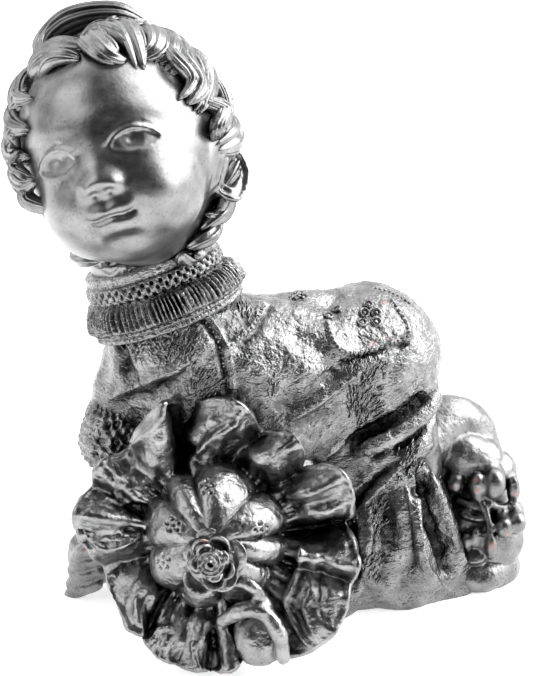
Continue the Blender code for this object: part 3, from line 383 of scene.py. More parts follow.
# The toes of the two feet: place in the picture, depth in the frame, half width and half height
UPPER_TOES = (
    (455, 481, 12.5, 2.7, 3.2), (477, 486, 9.5, 2.5, 4.6), (494, 483, 9.5, 3.4, 4.8),
    (513, 488, 12.0, 2.0, 4.4),
)
LOWER_TOES = (
    (466, 540, 6.0, 1.6, 2.8), (475, 537, 5.5, 1.4, 3.2), (483, 541, 5.0, 1.4, 3.2),
    (491, 546, 3.6, 1.8, 4.0),
    (504, 526, 5.5, 2.6, 3.0), (516, 522, 7.0, 2.9, 3.3), (474, 556, 5.6, 3.2, 1.5),
)
# The ridge of skin between the two feet, and the creases under the upper one: places in the picture and depth
FOOT_RIDGES = (
    (1.1, ((480, 500, 8.0), (486, 512, 6.5), (489, 524, 5.0), (490, 536, 4.0))),
    (1.3, ((488, 504, 8.0), (500, 508, 9.0), (512, 505, 11.0))),
    (1.0, ((458, 500, 11.0), (470, 505, 9.0), (482, 509, 7.5))),
    (1.0, ((464, 514, 8.0), (474, 518, 7.0), (484, 519, 6.5))),
)

# The back's top is lowered by so much, from the first to the second level up and place across
BACK_DROP = 2.7
BACK_DROP_LEVELS = (66, 88)
BACK_DROP_ACROSS = (-18, 2)

# Folds and hem of the dress's far side: radius, height, and the places across and up that each runs through
BEHIND = 120.0
BACK_LINES = (
    (2.4, 2.2, ((-20, 80), (-8, 72), (4, 60), (12, 44))),
    (2.2, 2.1, ((-27, 78), (-19, 64), (-13, 50), (-10, 38))),
    (2.0, -2.0, ((-24, 79), (-13, 68), (-4, 54), (0, 42))),
    (2.0, -1.8, ((-33, 74), (-29, 60), (-27, 46))),
    (2.2, -1.6, ((-12, 80), (3, 73), (18, 68), (32, 66))),
    (2.6, 2.2, ((42, 58), (31, 44), (26, 28), (24, 12))),
    (2.4, -2.4, ((34, 56), (21, 40), (14, 24), (11, 11))),
    (2.4, 2.3, ((20, 50), (9, 36), (4, 22), (2, 11))),
    (2.2, -2.1, ((4, 40), (-4, 26), (-6, 11))),
    (2.2, 2.2, ((-12, 36), (-14, 22), (-17, 11))),
    (2.0, -1.9, ((-22, 34), (-22, 22), (-26, 11))),
    (0.9, 0.8, ((44, 8.5), (22, 8), (0, 8), (-24, 9), (-34, 11))),
    (0.7, 0.6, ((44, 11.5), (22, 11), (0, 11), (-24, 12), (-34, 14))),
)

# Folds of the dress: a radius, a height and the points that each runs through
FOLDS = (
    (2.0, 3.0, ((38, -5, 38), (40, -9, 27), (43, -10, 15), (48, -7, 4))),
    (2.2, -2.6, ((42, -3, 35), (46, -5, 25), (51, -4, 13))),
    (2.0, 2.6, ((46, 2, 34), (51, 1, 24), (55, 2, 10))),
    (2.4, 2.4, ((26, -7, 28), (28, -10, 18), (32, -12, 5))),
    (2.4, -2.2, ((32, -8, 34), (35, -11, 22), (39, -12, 6))),
    (2.0, 3.0, ((26, -7, 49), (35, -6, 53), (44, -1, 58), (49, 7, 62))),
    (2.0, -2.8, ((24, -8, 45), (35, -7, 48), (44, -2, 53), (49, 7, 57))),
    (2.0, 2.4, ((23, -10, 30), (31, -8, 38), (39, -4, 44), (44, 2, 47))),
    (1.6, -2.0, ((22, -10, 34), (30, -8, 42), (38, -5, 48))),
    (2.6, -2.0, ((17, -4, 60), (19, -4, 70), (18, 0, 82), (17, 8, 90))),
    (3.0, -2.0, ((-2, -14, 62), (8, -12, 60), (16, -8, 62))),
    (1.5, 1.6, ((16, -9, 48), (26, -9, 57), (36, -6, 68), (40, -3, 75))),
    (2.2, 1.6, ((-40, -10, 74), (-36, -15, 66), (-28, -18, 60))),
    (2.2, -1.8, ((-38, -8, 82), (-36, -14, 74), (-34, -15, 66))),
    (3.0, 2.2, ((10, 34, 60), (0, 36, 36), (-8, 36, 8))),
    (3.0, 2.2, ((26, 42, 50), (24, 47, 28), (20, 48, 6))),
    (3.0, -2.2, ((18, 38, 54), (12, 42, 30), (6, 44, 6))),
)


def unit(vector):
    return np.asarray(vector, float) / np.linalg.norm(vector)


def unit_rows(rows):
    return rows / np.linalg.norm(rows, axis=-1, keepdims=True)


def smoothstep(low, high, value):
    share = np.clip((value - low) / (high - low), 0.0, 1.0)
    return share * share * (3.0 - 2.0 * share)


def fade(gap, radius):
    """1 where there is no gap, falling softly towards 0 past the radius."""
    return np.exp(-((gap / radius) ** 2))


def hill(a, b, centre_a, centre_b, radius_a, radius_b, height):
    """A soft round rise, or a hollow where height is negative."""
    return height * fade(a - centre_a, radius_a) * fade(b - centre_b, radius_b)


def around(first, second, angle):
    """The ways at these angles, turning from the first direction towards the second."""
    return first * np.cos(angle)[..., None] + second * np.sin(angle)[..., None]


def sphere(rows, sides):
    """The ways out of a ball without its poles, with the height and the turn of each in radians."""
    height = np.linspace(-math.pi / 2, math.pi / 2, rows)[1:-1, None]
    turn = np.linspace(0, 2 * math.pi, sides, endpoint=False)[None, :]
    level = [np.cos(height) * np.cos(turn), np.cos(height) * np.sin(turn)]
    return np.stack([*level, np.sin(height) + 0 * turn], axis=-1), height, turn


def curve_through(stations, count):
    """Rows spaced evenly along a smooth curve through the given rows."""
    rows = np.array(stations, float)
    rows = np.vstack([2 * rows[0] - rows[1], rows, 2 * rows[-1] - rows[-2]])
    place = np.linspace(0, len(rows) - 3, count)
    start = np.minimum(place.astype(int), len(rows) - 4)
    share = (place - start)[:, None]
    a, b, c, d = (rows[start + k] for k in range(4))
    bend = (2 * a - 5 * b + 4 * c - d) * share**2 + (3 * b - a - 3 * c + d) * share**3
    return 0.5 * (2 * b + (c - a) * share + bend)


class Clay:
    """Closed shells that overlap, gathered until fuse() makes one body of them."""

    def __init__(self):
        self.points = []
        self.faces = []
        self.count = 0

    def add(self, points, faces):
        points = np.asarray(points, float).reshape(-1, 3)
        self.points.append(points)
        self.faces += [[corner + self.count for corner in face] for face in faces]
        self.count += len(points)

    def grid(self, points, closed_rows=False):
        """Rings of points, each ring closed. The first ring also joins the last, or both are capped."""
        rows, sides = points.shape[:2]
        faces = []
        for row in range(rows if closed_rows else rows - 1):
            low, high = row * sides, (row + 1) % rows * sides
            for k in range(sides):
                faces.append((low + k - 1 if k else low + sides - 1, low + k, high + k,
                              high + k - 1 if k else high + sides - 1))
        if not closed_rows:
            faces.append(tuple(range(sides))[::-1])
            faces.append(tuple(range((rows - 1) * sides, rows * sides)))
        self.add(points, faces)

    def ball(self, centre, radii, axes=np.eye(3), sides=28):
        """An ellipsoid. The rows of axes are its own three directions."""
        own, _, _ = sphere(sides // 2 + 1, sides)
        self.grid(np.asarray(centre) + (own * radii) @ np.asarray(axes))

    def tube(self, centres, widths, heights, ups, sides=12, ribs=0, rib_depth=0.0):
        """An oval tube along a path, each section spread across the path and along ups."""
        centres = np.asarray(centres, float)
        along = unit_rows(np.gradient(centres, axis=0))
        across = unit_rows(np.cross(along, np.broadcast_to(ups, centres.shape)))
        rise = np.cross(across, along)
        turn = np.linspace(0, 2 * math.pi, sides, endpoint=False)
        swell = 1.0 - rib_depth * (0.5 + 0.5 * np.cos(ribs * turn + 1.3 * np.sin(turn + ribs)))
        wide = (np.cos(turn) * swell)[None, :, None] * np.asarray(widths)[:, None, None]
        high = (np.sin(turn) * swell)[None, :, None] * np.asarray(heights)[:, None, None]
        self.grid(centres[:, None] + across[:, None] * wide + rise[:, None] * high)

    def limb(self, stations, sides=18):
        """A round limb through rows of x, y, z and radius, with round ends."""
        rows = curve_through(stations, 7 * len(stations))
        ends = []
        for end, before in ((rows[0], rows[1]), (rows[-1], rows[-2])):
            way = unit(end[:3] - before[:3])
            ends.append([np.append(end[:3] + way * end[3] * math.sin(cap), end[3] * max(math.cos(cap), 0.05))
                         for cap in np.linspace(0, math.pi / 2, 5)[1:]])
        rows = np.vstack([ends[0][::-1], rows, ends[1]])
        self.tube(rows[:, :3], rows[:, 3], rows[:, 3], (0, 1, 0), sides)


def add_object(name, content):
    """An object of this name in the scene, which shows a mesh or is a camera."""
    made = bpy.data.objects.new(name, content)
    bpy.context.scene.collection.objects.link(made)
    return made


def fuse(name, clay, voxel, softening):
    """One object whose mesh is the union of the clay's shells, softened a little."""
    mesh = bpy.data.meshes.new(name)
    mesh.from_pydata(np.vstack(clay.points), [], clay.faces)
    shell = add_object(name, mesh)
    remesh = shell.modifiers.new("One casting", "REMESH")
    remesh.mode = "VOXEL"
    remesh.voxel_size = voxel
    smooth = shell.modifiers.new("Soft edges", "SMOOTH")
    smooth.factor = 0.5
    smooth.iterations = softening
    evaluated = shell.evaluated_get(bpy.context.evaluated_depsgraph_get())
    fused = bpy.data.meshes.new_from_object(evaluated)
    shell.modifiers.clear()
    shell.data = fused
    return shell


def shell_of(name, clay):
    """One object that holds the clay's shells as they are, all facing outward."""
    mesh = bpy.data.meshes.new(name)
    mesh.from_pydata(np.vstack(clay.points), [], clay.faces)
    body = bmesh.new()
    body.from_mesh(mesh)
    bmesh.ops.recalc_face_normals(body, faces=body.faces[:])
    body.to_mesh(mesh)
    body.free()
    return add_object(name, mesh)


def points_of(mesh):
    points = np.empty(len(mesh.vertices) * 3)
    mesh.vertices.foreach_get("co", points)
    return points.reshape(-1, 3)


def move_points(mesh, points):
    mesh.vertices.foreach_set("co", points.ravel())
    mesh.update()


def normals_of(mesh):
    normals = np.empty(len(mesh.vertices) * 3)
    mesh.vertices.foreach_get("normal", normals)
    return normals.reshape(-1, 3)


def picture_ray(across, down):
    """Where the line of sight through a place in the picture starts, and its way."""
    way = (across - PICTURE_WIDTH / 2) / CAMERA_FOCUS * np.array((1.0, 0, 0))
    way = way + (PICTURE_HEIGHT / 2 - down) / CAMERA_FOCUS * CAMERA_UP - CAMERA_BACK
    return CAMERA_TARGET + CAMERA_BACK * CAMERA_DISTANCE, unit(way)


class Surface:
    """A piece's surface, looked up from the picture, and raised or sunk round places on it."""

    def __init__(self, shell):
        self.mesh = shell.data
        self.points = points_of(self.mesh)
        self.normals = normals_of(self.mesh)
        self.tree = BVHTree.FromObject(shell, bpy.context.evaluated_depsgraph_get())
        self.near = KDTree(len(self.points))
        for index, point in enumerate(self.points):
            self.near.insert(point, index)
        self.near.balance()

    def seen(self, across, down):
        """The point of the surface that shows at a place in the picture, and the surface's normal there."""
        start, way = picture_ray(across, down)
        place, normal, _, _ = self.tree.ray_cast(Vector(start), Vector(way))
        if place is None:
            place, normal, _, _ = self.tree.find_nearest(Vector(start + way * CAMERA_DISTANCE))
        return np.array(place), np.array(normal)

    def line(self, places, step=0.45):
        """Points on the surface, evenly spaced along a line through places in the picture."""
        path = np.array([self.seen(*place)[0] for place in curve_through(places, 10 * len(places))])
        walked = np.append(0, np.cumsum(np.linalg.norm(np.diff(path, axis=0), axis=1)))
        stops = np.arange(0, walked[-1] + step, step)
        return np.array([np.interp(stops, walked, path[:, k]) for k in range(3)]).T

    def back_line(self, places):
        """Points along a line over the far side, through places seen from straight behind it."""
        ahead = Vector((0, -1, 0))
        hits = [self.tree.ray_cast(Vector((across, BEHIND, level)), ahead)[0]
                for across, level in curve_through(places, 30 * len(places))]
        return np.array([hit for hit in hits if hit is not None])

    def lines(self, rows):
        """Marks along lines: the points, radius and height of each row of radius, height and places."""
        return [(self.line(places), radius, height) for radius, height, places in rows]

    def relief(self, marks):
        """Raises the surface by each mark: its points, its radius and its height, or depth where negative.

        Within a mark the points don't add up, so that a line has one even height."""
        shift = np.zeros(len(self.points))
        for places, radius, height in marks:
            gap = {}
            for place in places:
                for _, index, distance in self.near.find_range(Vector(place), 2.2 * radius):
                    gap[index] = min(distance, gap.get(index, distance))
            index = np.array(list(gap), int)
            shift[index] += height * fade(np.array(list(gap.values())), radius)
        self.points = self.points + self.normals * shift[:, None]
        move_points(self.mesh, self.points)
        self.normals = normals_of(self.mesh)


def head_axes():
    """The head's forward, left and up directions."""
    turn, lift, roll = HEAD_TURN, HEAD_RAISE, HEAD_ROLL
    forward = np.array((-math.sin(turn) * math.cos(lift), -math.cos(turn) * math.cos(lift), math.sin(lift)))
    level = unit(np.cross((0, 0, 1), forward))
    upright = np.cross(forward, level)
    left = level * math.cos(roll) + upright * math.sin(roll)
    up = upright * math.cos(roll) - level * math.sin(roll)
    return np.array((forward, left, up))


def skull_radius(way):
    """The bare head's radius along unit directions given in the head's own axes."""
    depth = np.where(way[..., 0] > 0, HEAD_HALF_DEPTH, HEAD_HALF_DEPTH * 1.05)
    narrow = 1.0 - 0.10 * smoothstep(0.1, 0.9, -way[..., 2])
    squared = (way[..., 0] / depth) ** 2 + (way[..., 1] / (HEAD_HALF_WIDTH * narrow)) ** 2
    return 1.0 / np.sqrt(squared + (way[..., 2] / HEAD_HALF_HEIGHT) ** 2)


def eye_relief(a, b, side):
    """An eye: a mound in the socket, the lids' edges standing over the ball, and a crease above."""
    x = (a - side * EYE_SPREAD) * side
    y = b - EYE_HEIGHT - 0.05 * x
    arch = np.clip(1.0 - (x / EYE_HALF_WIDTH) ** 2, 0.0, 1.0)
    upper = 2.9 * arch**0.75
    lower = -1.9 * arch**0.8
    inside = smoothstep(-0.22, 0.22, np.minimum(upper - y, y - lower)) * (arch > 0)
    near = fade(np.clip(np.abs(x) - EYE_HALF_WIDTH * 0.92, 0, None), 1.6)
    mound = hill(x, y, 0, 0, 6.6, 4.6, 2.4)
    over = np.clip(y - upper, 0, None)
    under = np.clip(lower - y, 0, None)
    lids = 0.85 * fade(over, 2.4) * (y >= 0) + 0.55 * fade(under, 2.0) * (y < 0)
    crease = -0.55 * fade(over - 1.7, 0.5) * (y > 0)
    gaze = np.hypot(x + 0.4, y - 0.7)
    iris = -0.30 * smoothstep(2.55, 2.15, gaze) - 0.45 * smoothstep(1.25, 0.75, gaze)
    return mound + (lids + crease) * near * (1 - inside) + iris * inside


def face_relief(a, b):
    """How far the face stands out of the skull, over its breadth a and height b."""
    relief = sum(hill(a, b, *row) for row in MIDDLE_HILLS)
    for side in (-1, 1):
        relief += sum(hill(a, b, side * aside, *row) for aside, *row in PAIRED_HILLS)
        relief += eye_relief(a, b, side)
    span = np.clip(1.0 - (a / MOUTH_HALF_WIDTH) ** 2, 0.0, 1.0)
    bow = MOUTH_HEIGHT + 1.5 - 0.5 * fade(a, 1.2)
    relief += 1.2 * span**0.7 * fade(b - bow, 1.5)
    relief += 1.9 * np.clip(span - 0.10, 0, 1) ** 0.7 * fade(b - MOUTH_HEIGHT + 2.1, 2.0)
    parting = MOUTH_HEIGHT + 0.2 * np.cos(a * 0.9) + 0.014 * a**2
    relief += -1.5 * span**0.4 * fade(b - parting, 0.5)
    return relief


def hair_cover(way):
    """1 where hair grows on the head, 0 on the face, ears and nape."""
    ragged = 0.025 * np.sin(31.0 * way[..., 1]) * np.cos(17.0 * way[..., 0])
    height = way[..., 2] + 0.75 * np.abs(way[..., 1]) ** 2.2 - 0.16 * smoothstep(0.0, 0.3, way[..., 1])
    front = smoothstep(0.62, 0.78, height + ragged)
    side = smoothstep(0.30, 0.05, way[..., 0])
    nape = smoothstep(-0.72, -0.55, way[..., 2])
    return np.maximum(front * smoothstep(-0.15, 0.1, way[..., 2]), side * nape)


def hair_grain(way):
    """Fine strands that run down from the crown of the head over the hair between the locks."""
    across = np.arctan2(way[..., 1], 0.30 * way[..., 2] + 0.95 * way[..., 0])
    drop = np.arccos(np.clip(-0.30 * way[..., 0] + 0.95 * way[..., 2], -1, 1))
    behind = smoothstep(0.62, 0.30, way[..., 0])
    strand = np.sin(42 * across + 2.2 * np.sin(5.0 * drop + 3.0 * across))
    return 0.42 * strand * smoothstep(0.1, 0.5, drop) * behind


def head(clay):
    """The skull with the face carved in front, and a bed of fine hair under the locks."""
    way, _, _ = sphere(280, 430)
    bare = skull_radius(way)
    hair = hair_cover(way)
    front = smoothstep(0.0, 0.35, way[..., 0]) * (1 - hair)
    face = face_relief(bare * way[..., 1], bare * way[..., 2]) * front
    radius = bare + face + (HAIR_DEPTH + hair_grain(way)) * hair
    clay.grid(HEAD_CENTRE + (way * radius[..., None]) @ head_axes())


def ear(clay, side):
    """An ear: rings that run from the bowl over the inner ridge and the curled rim, and round behind.

    The ear on the child's right sits further forward, where the locks leave it bare."""
    forward, left, up = head_axes()
    outward = unit(side * left * 0.75 + 0.66 * forward)
    back = unit(side * left * 0.66 - 0.75 * forward)
    root = HEAD_CENTRE + side * left * (HEAD_HALF_WIDTH - 3.5) - forward * 1.5 - up * 12.5
    if side < 0:
        root = root - forward * 7.0 - side * left * 2.5
    centre = root + back * 3.6
    turn = np.linspace(0, 2 * math.pi, 64, endpoint=False)
    front = smoothstep(-0.2, -0.95, np.cos(turn))
    lobe = smoothstep(-0.55, -0.95, np.sin(turn))
    wide = 6.0 * (1 - 0.25 * smoothstep(0.0, 1.0, -np.sin(turn)))
    rings = []
    for reach, rise in EAR_PROFILE:
        rise = rise + (1.1 - rise) * lobe * (0.5 < reach < 0.9)
        rise = rise - 1.6 * front * (reach > 0.6)
        across = np.outer(np.cos(turn) * wide * reach, back) + np.outer(np.sin(turn) * 8.0 * reach, up)
        rings.append(centre + across + np.outer(rise, outward))
    clay.grid(np.array(rings))
    clay.ball(root + outward * 0.8 - up * 0.8 - back * 0.4, (1.3, 1.5, 2.2), (outward, back, up))


def ears_and_neck(clay):
    for side in (-1, 1):
        ear(clay, side)
    rise = unit(NECK_RISE)
    clay.limb([(*(NECK_BASE + rise * level), NECK_RADIUS) for level in (6, 14)], sides=60)


def strands(clay, path, ups, width, depth, taper, side_strands=(-1, 1)):
    """A lock: a tress grooved into strands, with thin strands that run beside it."""
    clay.tube(path, width * taper, depth * taper, ups, 25, ribs=6, rib_depth=0.28)
    share = np.linspace(0, 1, len(path))
    across = unit_rows(np.cross(np.gradient(path, axis=0), ups))
    for side in side_strands:
        wave = width * (0.80 + 0.25 * np.sin(5.0 * share + side)) * taper
        beside = path + side * across * wave[:, None] - ups * (depth * 0.25)
        clay.tube(beside, width * 0.36 * taper, depth * 0.66 * taper, ups, 8, ribs=2, rib_depth=0.2)


def lock(clay, tilt, bearing, heading, curl, length, width=LOCK_WIDTH, lift=1.6, steps=16):
    """A lock of hair laid over the skull from a start near the crown, its end curling round."""
    axes = head_axes()
    crown = unit(np.array((-0.30, 0.0, 0.95)))
    front = unit(np.array((0.95, 0.0, 0.30)))
    flank = np.cross(crown, front)
    way = crown * math.cos(tilt) + (front * math.cos(bearing) + flank * math.sin(bearing)) * math.sin(tilt)
    downward = unit(way * math.cos(tilt) - crown)
    sideways = np.cross(way, downward)
    going = downward * math.cos(heading) + sideways * math.sin(heading)
    stride = length / steps
    centres, ups = [], []
    for step in range(steps + 1):
        share = step / steps
        rise = HAIR_DEPTH + lift * math.sin(math.pi * min(share * 1.25, 1.0))
        rise = rise * min(1.0, 0.45 + (1.0 - share) / 0.3) - 0.5
        centres.append(way * (skull_radius(way) + rise))
        ups.append(way)
        spin = curl * share**1.7 * 2.7 / steps
        going = going * math.cos(spin) + np.cross(way, going) * math.sin(spin)
        way = unit(way + going * stride / np.linalg.norm(centres[-1]))
        going = unit(going - way * np.dot(way, going))
    share = np.linspace(0, 1, steps + 1)
    taper = np.clip(np.sin(math.pi * np.clip(0.06 + share * 0.92, 0, 1)) ** 0.55, 0.12, 1)
    strands(clay, HEAD_CENTRE + np.array(centres) @ axes, np.array(ups) @ axes, width, LOCK_DEPTH, taper, ())


def face_lock(clay, width, depth, places):
    """A lock laid over the skull through the given directions from the head's centre."""
    way = unit_rows(curve_through(places, 18))
    share = np.linspace(0, 1, len(way))
    rise = HAIR_DEPTH * 0.75 + 2.0 * np.sin(math.pi * np.minimum(share * 1.15, 1.0))
    rise = rise * np.minimum(1, (1.08 - share) / 0.16)
    taper = np.clip(np.sin(math.pi * (0.08 + share * 0.915)) ** 0.6, 0.06, 1)
    path = HEAD_CENTRE + (way * (skull_radius(way) + rise)[:, None]) @ head_axes()
    strands(clay, path, way @ head_axes(), width, depth, taper)


def off_front(bearing):
    """How far a bearing is from the front of the head, either way round."""
    return abs((bearing + math.pi) % (2 * math.pi) - math.pi)


def hair(clay):
    """The locks round the face, and rows of locks over the crown, the sides and the nape."""
    wander = np.random.default_rng(11)
    for width, depth, places in FACE_LOCKS:
        face_lock(clay, width, depth, places)
        for side in (-1, 1):
            aside = side * unit(np.cross(places[0], places[-1])) * 0.030 * width
            beside = [np.add(place, aside * wander.uniform(0.6, 1.3)) for place in places]
            face_lock(clay, width * 0.58, depth * 0.8, beside[: 4 - (side > 0)])
    for tilt, count, length in CROWN_SWIRLS:
        for k in range(count):
            bearing = 2 * math.pi * (k + wander.uniform(-0.15, 0.15)) / count
            if off_front(bearing) > 0.3:
                lock(clay, tilt, bearing, heading=1.15, curl=0.9, length=length, width=LOCK_WIDTH * 0.85)
    for row, (tilt, count, length) in enumerate(LOCK_ROWS):
        for k in range(count):
            bearing = 2 * math.pi * (k + 0.5 * (row % 2)) / count + wander.uniform(-0.1, 0.1)
            bare = np.interp(tilt, *BARE_FRONT) + BARE_SIDE * (math.sin(bearing) > 0) * (tilt > 1.2)
            if off_front(bearing) < bare:
                continue
            swing = 1 if (k + row) % 2 else -1
            lock(clay, tilt, bearing, swing * wander.uniform(0.2, 0.6), -swing * wander.uniform(0.9, 1.9),
                 length * wander.uniform(0.9, 1.1), LOCK_WIDTH * wander.uniform(0.75, 1.0))
    quiff(clay)


def quiff(clay):
    """The big roll of hair that stands up over the child's right brow."""
    forward, left, up = head_axes()
    clay.ball(HEAD_CENTRE + forward * 6 - left * 1 + up * 26, (8, 11, 6), head_axes())
    for k in range(QUIFF_STRANDS):
        turn = 2 * math.pi * k / QUIFF_STRANDS
        lean, drop = 4.4 * math.cos(turn), 3.4 * math.sin(turn)
        spread = np.interp(np.linspace(0, 1, len(QUIFF_PATH)), *QUIFF_SPREADS)
        path = [HEAD_CENTRE + forward * (f + lean * s) + left * l + up * (u - drop * s)
                for (f, l, u), s in zip(QUIFF_PATH, spread)]
        path = curve_through(path, 30)
        girth = np.interp(np.linspace(0, 1, len(path)), *QUIFF_GIRTHS)
        clay.tube(path, girth * 1.1, girth, path - HEAD_CENTRE, 36, ribs=9, rib_depth=0.22)


def neck_axes():
    """The neck's axis, and two directions square to it."""
    rise = unit(NECK_RISE)
    across = unit(np.cross((0, 1, 0), rise))
    return rise, across, np.cross(rise, across)


def collar(clay, sides=600):
    """The collar: a smooth band, a lace band with holes and a pleated frill with a double hem."""
    rise, across, deep = neck_axes()
    stations, known = np.linspace(0, 1, 70), np.linspace(0, 1, len(COLLAR_PROFILE))
    level, spread, pleat, lace = (np.interp(stations, known, row) for row in np.array(COLLAR_PROFILE).T)
    turn = np.linspace(0, 2 * math.pi, sides, endpoint=False)[:, None]
    wave = np.sin(COLLAR_PLEATS * turn + 3.2 * np.sin(5 * turn) + 1.6 * np.sin(13 * turn) + 0.35 * level)
    wave = wave * (0.95 + 0.35 * np.sin(9 * turn + 2) + 0.2 * np.sin(23 * turn))
    holes = smoothstep(0.05, 0.55, np.cos(LACE_HOLES * turn) * np.cos(2.1 * level))
    drape = 0.5 * np.sin(5 * turn + 1) + 0.3 * np.sin(11 * turn)
    radius = COLLAR_RADIUS + spread + pleat * (PLEAT_DEPTH * wave + 0.7 * drape) - LACE_DEPTH * lace * holes
    band = np.clip(level - BAND_LEVEL, 0, None)
    height = level - band * 0.15 * (0.5 - 0.5 * np.cos(turn)) + pleat * (0.35 * drape + 0.15 * wave)
    ring = around(across, deep * 0.94, turn)
    clay.grid(NECK_BASE + ring * radius[..., None] + rise * height[..., None], closed_rows=True)
    way = across * math.cos(TAB_TURN) + deep * math.sin(TAB_TURN)
    along = np.cross(rise, way)
    knot = NECK_BASE + way * (COLLAR_RADIUS + 0.4) + rise * 9.0
    clay.ball(knot, (1.7, 4.2, 2.2), (way, along, rise))
    clay.ball(knot + along * 3.5 + rise * 1.5, (1.4, 2.6, 1.7), (way, along, rise))
    clay.ball(knot - along * 3.4 - rise * 0.8, (1.4, 2.8, 1.6), (way, along, rise))


def clothed_body(clay):
    """The clothed body: chest, back, rump, thighs, sleeves and the skirt down to the floor."""
    clay.ball((-23, -1, 75), (20, 18, 20))
    clay.limb([(-24, -1, 76, 17.0), (-10, 2, 71.5, 20.5), (9, 9, 68.0, 22.5), (28, 16, 67.5, 21.5)], sides=40)
    clay.ball((-8, 0, 56), (28, 20, 24))
    clay.ball((10, 9, 58), (28, 20, 24))
    clay.ball((28, 17, 68.5), (20, 23, 22))
    clay.ball((31, 8, 54), (17, 15, 18))
    clay.ball((30, 27, 44), (18, 16, 24))
    clay.ball((38, 32, 12), (20, 14, 17))
    clay.ball((2, 14, 28), (40, 22, 40))
    clay.ball((44, 16, 2), (22, 20, 14))
    clay.ball((3, -4, 3), (24, 17, 13))
    clay.ball((-28, 9, 14), (20, 16, 20))
    clay.limb([(-8, 0, 79, 13), (-9, -5, 66, 13), (-12, -11, 50, 12), (-15, -17, 34, 9)])
    clay.limb([(-32, 6, 80, 11), (-37, 3, 66, 10), (-41, 1, 54, 9)])
    clay.ball((-41, -1, 51), (9.5, 10, 11))
    # The skirt fans out from the thigh to the floor
    for top, foot, girth in (((30, 2, 36), (30, 1, 4), 10), ((36, 3, 38), (38, 1, 5), 11),
                             ((40, 6, 38), (46, 5, 5), 9), ((44, 12, 34), (50, 12, 5), 9)):
        middle = (np.add(top, foot) / 2) + np.array((0.5, -3, -1))
        clay.limb([(*top, girth * 0.62), (*middle, girth * 0.9), (*foot, girth)])


def carve(shell, strokes):
    """Raises the surface along lines through the figure, or sinks it where a height is negative."""
    points = points_of(shell.data)
    normals = normals_of(shell.data)
    moved = points.copy()
    for radius, height, line in strokes:
        gap = np.full(len(points), np.inf)
        for place in curve_through(line, 70):
            gap = np.minimum(gap, np.linalg.norm(points - place, axis=1))
        moved += normals * (height * fade(gap, radius))[:, None]
    move_points(shell.data, moved)


def dress(clay):
    """The body with its big folds carved in."""
    rough = fuse("rough_dress", clay_from(clothed_body), ROUGH_VOXEL, ROUGH_SOFTENING)
    carve(rough, FOLDS)
    clay.add(points_of(rough.data), [tuple(face.vertices) for face in rough.data.polygons])
    bpy.data.objects.remove(rough)


def place_at(across, down, depth):
    """The point at this depth in the figure that shows at a place in the picture."""
    start, way = picture_ray(across, down)
    return start + way * (depth - start[1]) / way[1]


def toes(clay, places):
    """Toes side by side: each one's place in the picture, its depth in the frame, and its half sizes."""
    for across, down, depth, wide, tall in places:
        centre = place_at(across, down, depth)
        back = centre + np.array((0, 5.0, 1.5))
        clay.limb([(*back, wide * 0.95), (*centre, wide)], sides=24)
        clay.ball(centre + np.array((0, -0.6, -0.2)), (wide, wide * 1.05, tall), sides=26)


def legs(clay):
    """The bare ankles and the two crossed feet behind the skirt."""
    clay.limb([(44, 17, 40, 9.0), (51, 23, 43.5, 8.2), (57.5, 26, 40.5, 7.6), (61.5, 25, 34, 6.4)], sides=40)
    clay.limb([(43, 8, 50, 4.4), (44, 8, 43, 4.6), (45, 9, 36, 4.4)], sides=30)
    clay.limb([(50, 18, 38, 5.5), (56, 17.5, 36, 7.0), (61, 18.5, 33, 6.5)], sides=30)
    clay.ball((59.5, 19, 33.5), (8.6, 8.0, 7.4), sides=40)
    clay.ball((64.5, 20, 30), (7.5, 8.0, 6.5), sides=40)
    toes(clay, UPPER_TOES)
    clay.ball((64.5, 14, 11.5), (9.5, 9.5, 10.5), sides=40)
    clay.ball((57.5, 16, 14), (9.5, 9.5, 14), sides=40)
    clay.ball((66.5, 14.5, 15.5), (5.5, 8.5, 7.0), sides=40)
    toes(clay, LOWER_TOES)
    for girth, places in FOOT_RIDGES:
        clay.limb([(*place_at(*place), girth) for place in places], sides=14)
    clay.limb([(52, 10, 4.5, 4.5), (60, 4.5, 3.6, 4.4), (68, 10, 4.0, 4.6)], sides=30)
    clay.ball((61, 14, 2.5), (12.5, 11.5, 6), sides=40)
    clay.ball((58, 26, 16), (13, 11, 24), sides=40)
    clay.ball((50, 25, 28), (11, 13, 20), sides=40)


def arm(clay):
    """The child's right forearm and the hand it leans on, with its fingers folded side by side."""
    wrist = ((-40, 3, 46, 7.2), (-41, 3, 36, 6.8), (-41.5, 4, 26, 6.6), (-43, 5, 16, 6.2), (-45, 5, 9, 6.4))
    clay.limb(wrist, sides=40)
    palm_axes = (unit((1, 0, 0.35)), (0, 1, 0), unit((-0.35, 0, 1)))
    clay.ball((-49.5, 5.2, 9.8), (6.8, 6.6, 8.6), palm_axes, sides=40)
    for finger in range(4):
        root = np.array((-46.7, -1.4, 17.0)) + np.array((-0.6, 0.3, -4.2)) * finger
        tip = root + np.array((-7.2, 2.4, -5.2))
        clay.limb([(*root, 2.3), (*((root + tip) / 2 + (-0.5, -1.0, 0.9)), 2.4), (*tip, 2.0)], sides=20)


def cuff(clay):
    """The knitted cuff of the far sleeve: a soft mass of stitches with pits between them."""
    way, height, turn = sphere(90, 150)
    stitches = np.sin(22 * turn + 3 * np.sin(4 * height)) * np.cos(15 * height)
    swell = 1.0 + 0.045 * stitches + 0.05 * np.sin(5 * height + turn)
    for pit in CUFF_PITS:
        gap = np.arccos(np.clip(way @ unit(pit), -1, 1))
        swell = swell - 0.16 * fade(gap, 0.11)
    clay.grid(CUFF_CENTRE + way * swell[..., None] * CUFF_RADII)


